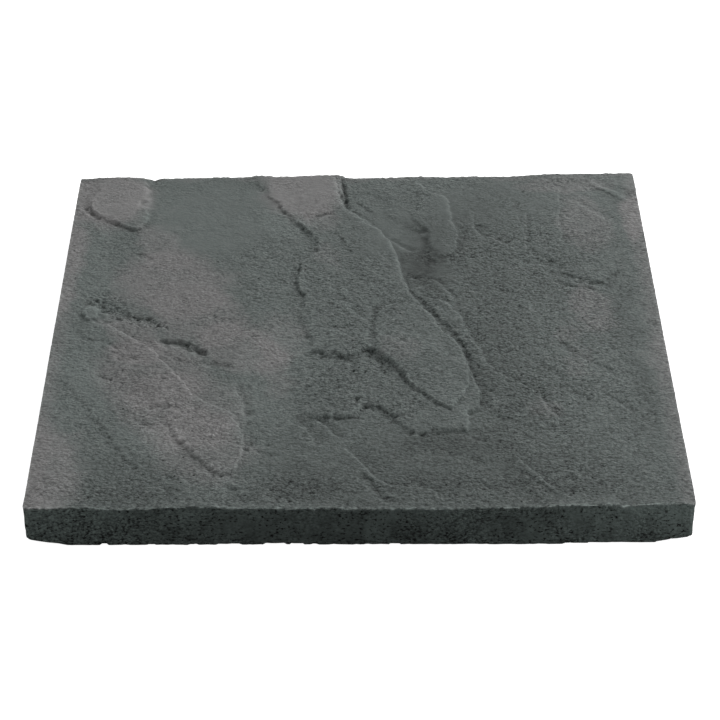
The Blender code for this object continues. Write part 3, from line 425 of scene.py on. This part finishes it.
PATCH_CORE = 0.65  # a patch is at full strength out to this share of its oval
PATCH_FADE = 0.6  # and fades out over this one
SIDE_WARMTH = 0.6  # of the face's side edges, over SIDE_BAND
SIDE_BAND = 16
# Rims are made paler, partly as wear and partly as painted highlight, and hollows darker as painted shade.
RIM_STRENGTH = 1.4  # how pale a rim is that stands RIM_HEIGHT above what is RIM_REACH round it
RIM_HEIGHT = 0.22
RIM_REACH = 1.2
HOLLOW_DEPTH = 0.8  # a hollow is darkest this far below what is HOLLOW_REACH round it
HOLLOW_REACH = 3.5
# A painted highlight along the upper edge, broken into specks.
ARRIS_PAINTED_HIGHLIGHT = 4.5  # of the upper edge at most, over ARRIS_BAND
ARRIS_BAND = 1.7
ARRIS_COVER = 0.3  # the more, the fewer gaps its paleness has
WALL_START = 2.0  # the walls' looks are complete this far below the upper edge
WALL_BLEND = 1.4  # and the face's give way to them over this height

# The walls' tone is partly their own and partly painted shade and light: darker than the face, darker towards
# the foot, and paler up the wall and towards the ends, where more light falls.
WALL_SHADE_AND_TONE = -0.53  # how much darker the walls are than the face, at the foot
WALL_LIGHT_RISE = 0.27  # how much paler they get up to WALL_TOP, and CORNER_RISE times more at their ends
WALL_TOP = 30
CORNER_RISE = 1.7
CORNER_REACH = 110
MOTTLE_TURN = 1.3  # as WALL_TURN, for the colour
RUNS_STRETCH = 0.2  # the runs are drawn out down the wall by one over this
WALL_GRAIN = 0.8  # how strong the walls' grain is, and how much more at their ends
WALL_GRAIN_ENDS = 0.4
WALL_GRAIN_NOISE = [(1.1, 26, 48)]
WALL_GRAIN_RANGE = (0.3, 1.6)

# Stretches of the walls that are coarser or finer, paler or darker: x, half length, extra grain, extra tone.
COARSE_STRETCHES = [
    (-205, 80, 0.8, 0.14), (-110, 50, 0.3, 0.04), (-15, 50, 0.0, -0.09), (85, 40, 0.5, 0.0),
    (212, 60, -0.5, -0.08),
]

SHARP_ANGLE = math.radians(50)  # edges sharper than this aren't shaded smooth

FACE_STEP = 1.0  # the spacing of the face's grid
WALL_RINGS = 22
LOWER_ROUND_ANGLES = (22, 45, 68, 90)
FINAL_TRIANGLES = 190000  # after the flat stretches are merged


def smooth_step(share):
    """0 at 0 and below, 1 at 1 and above, with level ends."""
    share = np.clip(share, 0, 1)
    return share * share * (3 - 2 * share)


def noise_field(x, y, size, layer):
    """Perlin noise from about -1 to 1 at each point, with swells `size` across. Each layer differs."""
    points = zip((x / size).ravel(), (y / size).ravel())
    return np.array([noise.noise((a, b, layer)) for a, b in points]).reshape(x.shape)


def with_noise(base, x, y, fields):
    """The base with noise added to it, from a table of (strength, size, layer)."""
    for strength, size, layer in fields:
        base = base + strength * noise_field(x, y, size, layer)
    return base


def inside(x, y, outline):
    """Whether each point is inside the closed outline."""
    found = np.zeros(len(x), bool)
    for (ax, ay, _), (bx, by, _) in zip(outline, outline[1:] + outline[:1]):
        if ay != by:
            crosses = (ay > y) != (by > y)
            found ^= crosses & (x < ax + (y - ay) * (bx - ax) / (by - ay))
    return found


def plate_height(x, y, rise, outline, crispness):
    """What one plate adds at each point. Where crispness is low its edge is worn soft."""
    height = np.zeros(x.shape)
    corners = np.array(outline)
    near = (x > corners[:, 0].min()) & (x < corners[:, 0].max())
    near &= (y > corners[:, 1].min()) & (y < corners[:, 1].max())
    near[near] = inside(x[near], y[near], outline)
    px, py = x[near], y[near]
    share = np.full(len(px), np.inf)
    for (ax, ay, a_ramp), (bx, by, b_ramp) in zip(outline, outline[1:] + outline[:1]):
        dx, dy = bx - ax, by - ay
        along = np.clip(((px - ax) * dx + (py - ay) * dy) / (dx * dx + dy * dy), 0, 1)
        distance = np.hypot(px - ax - along * dx, py - ay - along * dy)
        share = np.minimum(share, distance / (a_ramp + along * (b_ramp - a_ramp)))
    height[near] = rise * smooth_step(share * crispness[near])
    return height


def ledge_drop(x, y, drop, width, fade, line, crispness):
    """What one ledge takes off at each point. It dies out at both ends of its line."""
    depth = np.zeros(x.shape)
    corners = np.array(line)
    reach = width / crispness.min() + fade
    near = (x > corners[:, 0].min() - reach) & (x < corners[:, 0].max() + reach)
    near &= (y > corners[:, 1].min() - reach) & (y < corners[:, 1].max() + reach)
    px, py = x[near], y[near]
    nearest = np.full(len(px), np.inf)
    beyond, place = np.zeros(len(px)), np.zeros(len(px))
    total = 0
    for (ax, ay), (bx, by) in zip(line, line[1:]):
        dx, dy = bx - ax, by - ay
        length = math.hypot(dx, dy)
        along = np.clip(((px - ax) * dx + (py - ay) * dy) / length ** 2, 0, 1)
        distance = np.hypot(px - ax - along * dx, py - ay - along * dy)
        closer = distance < nearest
        nearest = np.minimum(nearest, distance)
        side = np.sign(dy * (px - ax) - dx * (py - ay))
        beyond = np.where(closer, side * distance, beyond)
        place = np.where(closer, total + along * length, place)
        total += length
    wide = width / crispness[near]
    shape = smooth_step(beyond / wide) * (1 - smooth_step((beyond - wide) / fade))
    ends = smooth_step(np.minimum(place, total - place) / (2 * width))
    depth[near] = drop * shape * ends
    return depth


def face_height(x, y):
    """The height of the riven face above the underside."""
    u, v = x / HALF, y / HALF
    height = FACE_LEVEL + FACE_TILT * u + FACE_DISH * u * u - FRONT_RISE * v

    # The broken edges stray from their outlines, and are crisp in places and worn in others.
    warp_x = with_noise(x, x, y, WANDER_X)
    warp_y = with_noise(y, x, y, WANDER_Y)
    crispness = np.clip(with_noise(CRISPNESS, x, y, CRISPNESS_NOISE), *CRISPNESS_RANGE)
    for rise, outline in PLATES.values():
        height += plate_height(warp_x, warp_y, rise, outline, crispness)
    for drop, width, fade, line in LEDGES.values():
        height -= ledge_drop(warp_x, warp_y, drop, width, fade, line, crispness)

    along = (x * np.cos(CLEAVAGE_ANGLE) + y * np.sin(CLEAVAGE_ANGLE)) / GRAIN_STRETCH
    across = y * np.cos(CLEAVAGE_ANGLE) - x * np.sin(CLEAVAGE_ANGLE)
    height = with_noise(height, along, across, GRAIN_SWELLS)
    height = with_noise(height, x, y, FACE_SWELLS)

    # The back and front edges have their own levels.
    for profile, to_edge in ((BACK_EDGE, HALF - y), (FRONT_EDGE, HALF + y)):
        share = 1 - smooth_step(to_edge / EDGE_BLEND)
        height += (np.interp(warp_x, *zip(*profile)) - height) * share

    for px, py, radius, depth in PITS:
        distance = np.hypot(warp_x - px, warp_y - py) / radius
        height -= depth * (1 - smooth_step(distance))

    # Flakes, which are noise cut into terraces. Then the sand, coarse to fine.
    rough = roughness(x, y)
    height += rough * FLAKE_STEP * terraced(with_noise(0, x, y, FLAKES))
    height += rough * with_noise(with_noise(0, along, across, GRAIN_SAND), x, y, FACE_SAND)
    height += rough * FINE_SAND * noise_field(x, y, FINE_SAND_SIZE, 24)
    return height


def terraced(value):
    """Steps of height 1 with narrow rises between them."""
    level = np.floor(value)
    return level + smooth_step((value - level - 0.5) / TERRACE_RISE + 0.5)


def roughness(x, y):
    """How rough the face is at each point: about 1, and less where it is smooth."""
    soft_x = with_noise(x, x, y, ROUGH_WANDER_X)
    soft_y = with_noise(y, x, y, ROUGH_WANDER_Y)
    everywhere = with_noise(1, x, y, ROUGHNESS_NOISE)
    return np.clip(everywhere + patches(soft_x, soft_y, ROUGH_PATCHES), *ROUGHNESS_RANGE)


def lower_lift(x, y):
    """How far the underside is up at each point, which it is at the corners alone."""
    beyond = np.abs(x) + np.abs(y) - (SIDE - CORNER_LEG)
    return CORNER_LIFT * np.clip(beyond / CORNER_LEG, 0, 1)


def rounded_square(x, y, inset, radius):
    """Points on the square's sides moved in by `inset`, with the corners rounded in plan to `radius`."""
    reach = HALF - inset
    x, y = np.clip(x, -reach, reach), np.clip(y, -reach, reach)
    core = reach - radius
    over_x, over_y = np.maximum(np.abs(x) - core, 0), np.maximum(np.abs(y) - core, 0)
    scale = np.minimum(radius / np.maximum(np.hypot(over_x, over_y), radius), 1)
    corner = (over_x > 0) & (over_y > 0)
    new_x = np.where(corner, np.sign(x) * (core + over_x * scale), x)
    new_y = np.where(corner, np.sign(y) * (core + over_y * scale), y)
    return new_x, new_y


def wall_rings(x, y, top):
    """The rings of points from under the upper edge to the lower one, each as (x, y, z)."""
    lift = lower_lift(x, y) + FOOT_WAVE * noise_field(x, y, FOOT_WAVE_SIZE, 31) ** 2
    lift += FOOT_CRUMBS * np.clip(noise_field(x, y, FOOT_CRUMB_SIZE, 32), 0, 1)
    at_front = y < FRONT_STRIP - HALF
    for place, width, depth in FOOT_CHIPS:
        lift += depth * (1 - smooth_step((np.abs(x - place) - width / 2) / CHIP_END + 0.5)) * at_front
    radius = LOWER_ROUND * with_noise(1, x, y, ROUND_NOISE)
    radius *= 1 - ROUND_LOSS * lower_lift(x, y) / CORNER_LIFT
    foot = lift + radius
    along = x + WALL_TURN * y
    rings = []
    for share in np.linspace(1, 0, WALL_RINGS + 1)[1:]:
        level = foot + (top - foot) * share
        wave = 1 + noise_field(x + y, level * WAVE_SQUASH, WAVE_SIZE, 9)
        rough = WALL_WAVE * wave * min(1, (1 - share) * WAVE_STEEPNESS)
        lumps = with_noise(0, along, level * LUMP_SQUASH, WALL_LUMPS)
        rough += with_noise(lumps, along, level, WALL_SAND)
        corner = UPPER_CORNER + (LOWER_CORNER - UPPER_CORNER) * (1 - share)
        rings.append((*rounded_square(x, y, np.maximum(rough, 0), corner), level))
    for angle in np.radians(LOWER_ROUND_ANGLES):
        inset = WALL_WAVE + radius * (1 - np.cos(angle))
        rings.append((*rounded_square(x, y, inset, LOWER_CORNER), lift + radius * (1 - np.sin(angle))))
    return rings


def slab_mesh():
    """The slab as one closed mesh (a grid for the face, rings for the walls), and the grid's heights."""
    count = round(SIDE / FACE_STEP) + 1
    line = np.linspace(-HALF, HALF, count)
    x, y = np.meshgrid(line, line)
    height = face_height(x, y)
    to_edge = HALF - np.maximum(np.abs(x), np.abs(y))
    wear = ARRIS_WEAR * with_noise(1, x, y, WEAR_NOISE)
    wear -= ARRIS_BURR * np.clip(with_noise(-BURR_GAPS, x, y, BURR_NOISE), 0, 1)
    height -= wear * (1 - np.clip(to_edge / ARRIS_WIDTH, 0, 1)) ** 2

    # The rim: the grid's outer points, round from the front left corner.
    step = np.arange(count - 1)
    last = count - 1
    rim = np.concatenate([step, step * count + last, count * count - 1 - step, (last - step) * count])
    plan_x, plan_y = x.ravel().copy(), y.ravel().copy()
    rim_x, rim_y, rim_z = plan_x[rim], plan_y[rim], height.ravel()[rim]
    plan_x[rim], plan_y[rim] = rounded_square(rim_x, rim_y, 0, UPPER_CORNER)
    points = [np.column_stack([plan_x, plan_y, height.ravel()])]
    points += [np.column_stack(ring) for ring in wall_rings(rim_x, rim_y, rim_z)]

    # The bed's outline: the last ring moved in a little, and off the less-filled corners.
    last_x, last_y, _ = points[-1].T
    bed_x, bed_y = last_x * BED_SHARE, last_y * BED_SHARE
    over = np.maximum(np.abs(bed_x) + np.abs(bed_y) - (SIDE - CORNER_LEG), 0)
    bed_x, bed_y = bed_x - np.sign(bed_x) * over / 2, bed_y - np.sign(bed_y) * over / 2
    points.append(np.column_stack([bed_x, bed_y, np.zeros(len(bed_x))]))

    corner = (step[:, None] * count + step).ravel()
    faces = np.column_stack([corner, corner + 1, corner + count + 1, corner + count]).tolist()
    upper = rim
    for ring in range(len(points) - 1):
        lower = count * count + ring * len(rim) + np.arange(len(rim))
        faces += np.column_stack([upper, lower, np.roll(lower, -1), np.roll(upper, -1)]).tolist()
        upper = lower
    faces.append(upper[::-1].tolist())

    mesh = bpy.data.meshes.new("slab_stone")
    mesh.from_pydata((np.concatenate(points) * MM).tolist(), [], faces)
    mesh.update()
    return mesh, height


def blurred(grid, spread):
    """The grid smoothed by a bell curve of `spread` grid steps."""
    reach = int(3 * spread)
    weights = np.exp(-0.5 * (np.arange(-reach, reach + 1) / spread) ** 2)
    weights /= weights.sum()
    padded = np.pad(grid, reach, mode="edge")
    rows = np.apply_along_axis(np.convolve, 0, padded, weights, mode="valid")
    return np.apply_along_axis(np.convolve, 1, rows, weights, mode="valid")


def sampled(grid, x, y):
    """The face grid's value at each point, between its four nearest grid points."""
    last = len(grid) - 1.001
    across, down = (np.clip((axis + HALF) / FACE_STEP, 0, last) for axis in (x, y))
    col, row = across.astype(int), down.astype(int)
    u, v = across - col, down - row
    near = grid[row, col] * (1 - u) + grid[row, col + 1] * u
    far = grid[row + 1, col] * (1 - u) + grid[row + 1, col + 1] * u
    return near * (1 - v) + far * v


def patches(x, y, table):
    """The sum of soft-edged oval patches, from a table in the form of WARM_PATCHES."""
    total = np.zeros(x.shape)
    for px, py, length, width, angle, strength in table:
        turn = math.radians(angle)
        along = (x - px) * math.cos(turn) + (y - py) * math.sin(turn)
        across = (y - py) * math.cos(turn) - (x - px) * math.sin(turn)
        distance = np.hypot(along / length, across / width)
        total += strength * (1 - smooth_step((distance - PATCH_CORE) / PATCH_FADE))
    return total


def face_masks(x, y, height):
    """How warm and pale the face is at each point, and how proud of its surroundings: rims paler partly by
    wear and partly as painted highlight, hollows darker as painted shade, and a painted highlight along the
    upper edge.
    """
    soft_x = with_noise(x, x, y, BLOOM_WANDER_X)
    soft_y = with_noise(y, x, y, BLOOM_WANDER_Y)
    warm = patches(soft_x, soft_y, WARM_PATCHES)
    tone = patches(soft_x, soft_y, TONE_PATCHES)
    to_side = HALF - np.abs(with_noise(x, x, y, SIDE_WANDER))
    warm += SIDE_WARMTH * (1 - smooth_step(to_side / SIDE_BAND))

    above = height - blurred(height, RIM_REACH / FACE_STEP)
    below = blurred(height, HOLLOW_REACH / FACE_STEP) - height
    rim = RIM_STRENGTH * np.clip(above / RIM_HEIGHT, 0, 1)
    hollow = np.clip(below / HOLLOW_DEPTH, 0, 1)
    painted_rims_and_hollows = sampled(rim - hollow, x, y)
    to_edge = HALF - np.maximum(np.abs(x), np.abs(y))
    specks = np.clip(with_noise(ARRIS_COVER, x, y, ARRIS_SPECKS), 0, 1)
    painted_rims_and_hollows += ARRIS_PAINTED_HIGHLIGHT * (1 - smooth_step(to_edge / ARRIS_BAND)) * specks
    return warm, tone, painted_rims_and_hollows


def wall_masks(x, y, z):
    """How pale and how rough the walls are at each point; the paleness is partly their own tone and partly
    painted shade and light.
    """
    along = x + MOTTLE_TURN * y
    ends = 1 - smooth_step((HALF - np.minimum(np.abs(x), np.abs(y))) / CORNER_REACH)
    tone = WALL_SHADE_AND_TONE + WALL_LIGHT_RISE * np.clip(z / WALL_TOP, 0, 1) * (1 + CORNER_RISE * ends)
    rough = with_noise(WALL_GRAIN + WALL_GRAIN_ENDS * ends, along, z, WALL_GRAIN_NOISE)
    rough = np.clip(rough, *WALL_GRAIN_RANGE)
    for place, reach, extra_grain, extra_tone in COARSE_STRETCHES:
        share = 1 - smooth_step(np.abs(x - place) / reach)
        rough += extra_grain * share
        tone += extra_tone * share
    tone = with_noise(tone, along, z, WALL_MOTTLE)
    return with_noise(tone, along, z * RUNS_STRETCH, WALL_RUNS), rough


def add_colour_masks(piece, height):
    """Puts on every point the numbers that the material reads."""
    mesh = piece.data
    points = np.empty(len(mesh.vertices) * 3)
    mesh.vertices.foreach_get("co", points)
    x, y, z = points.reshape(-1, 3).T / MM
    warm, face_tone, painted_rims_and_hollows = face_masks(x, y, height)
    wall_tone, wall_rough = wall_masks(x, y, z)
    on_face = smooth_step((z - sampled(height, x, y) + WALL_START) / WALL_BLEND)
    masks = {
        "warm": warm * on_face,
        "tone": np.where(on_face > 0.5, face_tone, wall_tone),
        "painted_rims_and_hollows": painted_rims_and_hollows * on_face,
        "rough": np.where(on_face > 0.5, roughness(x, y), wall_rough),
        "wall": 1 - on_face,
    }
    for name, values in masks.items():
        mesh.attributes.new(name, "FLOAT", "POINT").data.foreach_set("value", values)


def add_object(name, data):
    piece = bpy.data.objects.new(name, data)
    bpy.context.scene.collection.objects.link(piece)
    return piece


def make_slab():
    """The slab with its flat stretches merged, and its masks on it."""
    mesh, height = slab_mesh()
    piece = add_object("slab_stone", mesh)
    merge = piece.modifiers.new("merge", "DECIMATE")
    merge.ratio = FINAL_TRIANGLES / sum(len(face.vertices) - 2 for face in mesh.polygons)
    merge.use_collapse_triangulate = True
    merged = piece.evaluated_get(bpy.context.evaluated_depsgraph_get())
    piece.data = bpy.data.meshes.new_from_object(merged)
    piece.modifiers.clear()
    add_colour_masks(piece, height)
    piece.data.shade_smooth()
    piece.data.set_sharp_from_angle(angle=SHARP_ANGLE)
    return piece


# ---------- the material

COOL_GREY = (0.0935, 0.1075, 0.1030, 1)
WALL_GREY = (0.0870, 0.1075, 0.1005, 1)
WARM_GREY = (0.146, 0.145, 0.144, 1)
FACE_LIGHT = 1.14  # what the greys are multiplied by
GRAIN_LIGHT = 0.12  # and what their grain adds to that

# Textures, each as (size, detail, roughness).
BROAD = (40, 3, 0.6)
BLOTCH = (9, 4, 0.6)
GRIT = (3.2, 4, 0.7)
SAND = (1.3, 2, 0.6)
CLUSTERS = (22, 2, 0.5)
WALL_PITS = (3.0, 3, 0.6)
ARRIS_HIGHLIGHT_NOISE = (4.0, 4, 0.75)
LUMP_SIZE = 2.4
GRIT_STRETCH = (0.65, 1.0, 1.0)  # the grit and the sand are longer along x
WALL_PIT_STRETCH = (1.0, 1.0, 2.0)  # and the walls' pits are wider than high
AIR_PITS = (4.5, 0.15, 1.1)  # a cell's size, the share of the cells with a pit, its radius
PALE_FLECKS = (2.3, 0.13, 0.9)
NOISE_RANGE = 2.6  # spreads Blender's noise to about -1 to 1


class Graph:
    """A node tree, with a short call for each node. Inputs are values or other nodes' outputs."""

    def __init__(self, owner, shader):
        owner.use_nodes = True
        self.tree = owner.node_tree
        self.shader = self.tree.nodes[shader]

    def add(self, kind, inputs, output=0, **settings):
        node = self.tree.nodes.new("ShaderNode" + kind)
        for name, value in settings.items():
            setattr(node, name, value)
        for name, value in inputs.items():
            self.feed(node.inputs[name], value)
        return node.outputs[output]

    def feed(self, socket, value):
        if isinstance(value, bpy.types.NodeSocket):
            self.tree.links.new(value, socket)
        else:
            socket.default_value = value

    def shade(self, name, value):
        """Feeds one of the shader's own inputs."""
        self.feed(self.shader.inputs[name], value)

    def mask(self, name):
        """A number that add_colour_masks put on the points."""
        return self.add("Attribute", {}, "Fac", attribute_name=name)

    def math(self, operation, first, second=0.0):
        return self.add("Math", {0: first, 1: second}, operation=operation)

    def noise(self, where, size, detail, rough):
        """Noise from about -1 to 1, with swells `size` millimetres across."""
        inputs = {"Vector": where, "Scale": 1 / size, "Detail": detail, "Roughness": rough}
        value = self.add("TexNoise", inputs)
        return self.math("MULTIPLY", self.math("SUBTRACT", value, 0.5), NOISE_RANGE)

    def step(self, value, start, end, low=0.0, high=1.0):
        """Goes smoothly from low to high as the value goes from start to end."""
        inputs = {"Value": value, "From Min": start, "From Max": end, "To Min": low, "To Max": high}
        return self.add("MapRange", inputs, interpolation_type="SMOOTHSTEP")

    def mix(self, share, first, second):
        return self.add("Mix", {0: share, 6: first, 7: second}, 2, data_type="RGBA")

    def stretch(self, where, by):
        return self.add("VectorMath", {0: where, 1: by}, operation="MULTIPLY")

    def scaled(self, value, gain, base):
        return self.add("Math", {0: value, 1: gain, 2: base}, operation="MULTIPLY_ADD")

    def total(self, base, parts):
        """The base with each part added to it, times its gain."""
        for value, gain in parts:
            base = self.scaled(value, gain, base)
        return base

    def cells(self, where, size, output):
        return self.add("TexVoronoi", {"Vector": where, "Scale": 1 / size}, output)

    def spots(self, where, size, share, radius):
        """Round spots, 1 at the middle: one in a cell `size` across, in that share of the cells."""
        near = self.cells(where, size, "Distance")
        lot = self.cells(where, size, "Color")
        chosen = self.math("LESS_THAN", self.add("SeparateColor", {"Color": lot}, 0), share)
        spot = self.step(near, 0.0, radius / size, 1.0, 0.0)
        return self.math("MULTIPLY", spot, chosen)


def concrete():
    """Dry charcoal-grey concrete: grains with their creases darkened as painted shade, air pits darkened as
    painted shade, rims paler partly by wear and partly as painted highlight, hollows darkened as painted
    shade, a painted highlight along the upper edge, and warm bleached areas.
    """
    material = bpy.data.materials.new("charcoal_concrete")
    graph = Graph(material, "Principled BSDF")
    metres = graph.add("TexCoord", {}, "Object")
    where = graph.add("VectorMath", {0: metres, "Scale": 1 / MM}, operation="SCALE")
    warm, tone, painted_rims_and_hollows, rough, wall = map(graph.mask, ("warm", "tone", "painted_rims_and_hollows", "rough", "wall"))

    broad = graph.noise(where, *BROAD)
    blotch = graph.noise(where, *BLOTCH)
    drawn_out = graph.stretch(where, GRIT_STRETCH)
    grit = graph.noise(drawn_out, *GRIT)
    sand = graph.noise(drawn_out, *SAND)
    lumps = graph.cells(where, LUMP_SIZE, "Distance")
    crease_shade = graph.step(lumps, 0.45, 0.8)
    pits = graph.spots(where, *AIR_PITS)
    flecks = graph.spots(where, *PALE_FLECKS)

    # The walls' air pits, which come in clusters, darkened as painted shade.
    flattened = graph.stretch(where, WALL_PIT_STRETCH)
    in_clusters = graph.step(graph.noise(where, *CLUSTERS), -0.35, 0.15, 0.15)
    pitted = graph.step(graph.noise(flattened, *WALL_PITS), 0.18, 0.36)
    wall_pits = graph.math("MULTIPLY", graph.math("MULTIPLY", pitted, in_clusters), wall)

    # A painted highlight: the pale broken line just under the upper edge.
    upper_band = graph.math("MULTIPLY", graph.step(wall, 0.0, 0.05), graph.step(wall, 0.25, 0.5, 1.0, 0.0))
    broken = graph.step(graph.noise(where, *ARRIS_HIGHLIGHT_NOISE), -0.25, 0.25)
    arris_highlight = graph.math("MULTIPLY", upper_band, broken)

    warmth = graph.add("Math", {0: blotch, 1: 0.25, 2: warm}, operation="MULTIPLY_ADD", use_clamp=True)
    face_colour = graph.mix(warmth, COOL_GREY, WARM_GREY)
    colour = graph.mix(graph.math("SUBTRACT", wall, arris_highlight), face_colour, WALL_GREY)
    # The grain darkens the creases between lumps and the air pits as painted shade.
    grain = graph.total(GRAIN_LIGHT, (
        (grit, 0.40), (sand, 0.72), (crease_shade, -0.30), (pits, -0.8), (flecks, 0.6),
    ))
    light = graph.total(FACE_LIGHT, (
        (broad, 0.05), (tone, 1.0), (blotch, 0.07), (painted_rims_and_hollows, 0.32), (wall_pits, -1.0), (arris_highlight, 3.5),
        (rough, grain),
    ))
    tinted = graph.add("VectorMath", {0: colour, "Scale": light}, operation="SCALE")
    graph.shade("Base Color", tinted)

    relief = graph.total(0.0, (
        (grit, 0.7), (sand, 0.2), (blotch, 0.3), (lumps, -0.5), (pits, -0.8), (flecks, 0.25),
    ))
    relief = graph.scaled(wall_pits, -1.5, graph.math("MULTIPLY", relief, rough))
    normal = graph.add("Bump", {"Height": relief, "Distance": MM})
    graph.shade("Normal", normal)
    graph.shade("Roughness", graph.scaled(blotch, 0.04, 0.90))
    graph.shade("Specular IOR Level", 0.3)
    return material


# ---------- the studio

LENS = 126.46  # mm, on Blender's own sensor, which is 36 mm wide
CAMERA_DISTANCE = 1.8944
CAMERA_PITCH = math.radians(33.535)  # looking down by this much
CAMERA_YAW = math.radians(0.2936)
CAMERA_ROLL = math.radians(0.0322)
CAMERA_RIGHT = 0.00155
CAMERA_UP = 0.00102

FLOOR_REACH = 8
FLOOR_GAP = 0.0002  # between the floor and the slab's underside
FLOOR_GREY = (0.8, 0.8, 0.8, 1)
FLOOR_GLOW = 0.9  # its own light, which hides the shadow on it
SKY_LIGHT = 0.42  # the sky's strength from SKY_TOP up
SKY_TOP = 0.15  # the sine of an angle above the horizon
SKY_FOOT = -0.05  # and it is dark below this


def add_camera():
    """The photograph's own viewpoint: in front of the slab and above it."""
    forward = Vector((0, math.cos(CAMERA_PITCH), -math.sin(CAMERA_PITCH)))
    up = Vector((0, math.sin(CAMERA_PITCH), math.cos(CAMERA_PITCH)))
    right = Vector((1, 0, 0))
    place = Matrix((right, up, -forward)).transposed() @ Matrix.Rotation(CAMERA_ROLL, 3, "Z")
    place = place.to_4x4()
    place.translation = -forward * CAMERA_DISTANCE + right * CAMERA_RIGHT + up * CAMERA_UP
    camera = add_object("camera", bpy.data.cameras.new("camera"))
    camera.data.lens = LENS
    camera.matrix_world = Matrix.Rotation(-CAMERA_YAW, 4, "Z") @ place
    bpy.context.scene.camera = camera


def add_light(name, place, target, size, power):
    """An oblong lamp at `place` that faces `target`, itself unseen by the camera."""
    lamp = bpy.data.lights.new(name, "AREA")
    lamp.shape = "RECTANGLE"
    lamp.size, lamp.size_y = size
    lamp.energy = power
    light = add_object(name, lamp)
    light.location = place
    light.rotation_euler = (Vector(target) - Vector(place)).to_track_quat("-Z", "Y").to_euler()
    light.visible_camera = False


def add_floor():
    """A pale floor that the slab stands on, seen by the camera alone."""
    mesh = bpy.data.meshes.new("floor")
    corners = [(FLOOR_REACH * x, FLOOR_REACH * y, 0) for x, y in ((-1, -1), (1, -1), (1, 1), (-1, 1))]
    mesh.from_pydata(corners, [], [(0, 1, 2, 3)])
    floor = add_object("floor", mesh)
    floor.location.z = -FLOOR_GAP
    material = bpy.data.materials.new("pale_floor")
    graph = Graph(material, "Principled BSDF")
    graph.shade("Base Color", FLOOR_GREY)
    graph.shade("Roughness", 1)
    graph.shade("Specular IOR Level", 0)
    graph.shade("Emission Strength", FLOOR_GLOW)
    mesh.materials.append(material)
    floor.visible_diffuse = False
    floor.visible_glossy = False


def add_world():
    """Soft light from the whole sky, and none from below the horizon."""
    world = bpy.data.worlds.new("studio")
    bpy.context.scene.world = world
    graph = Graph(world, "Background")
    where = graph.add("TexCoord", {}, "Generated")
    upward = graph.add("SeparateXYZ", {0: where}, "Z")
    inputs = {"Value": upward, "From Min": SKY_FOOT, "From Max": SKY_TOP, "To Max": SKY_LIGHT}
    graph.shade("Color", (1, 1, 1, 1))
    graph.shade("Strength", graph.add("MapRange", inputs))


add_camera()
add_world()
add_floor()
add_light("key", (0.95, 2.0, 1.2), (0, 0, 0), (1.2, 0.7), 50)
add_light("right_card", (0.50, -0.44, 0.08), (0.20, -0.22, 0.015), (0.15, 0.1), 0.72)
add_light("left_card", (-0.55, -0.50, 0.08), (-0.20, -0.22, 0.015), (0.15, 0.1), 0.40)

slab = make_slab()
slab.data.materials.clear()
slab.data.materials.append(concrete())
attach(slab, "root")
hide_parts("slab")
bpy.context.scene.view_settings.view_transform = "Standard"
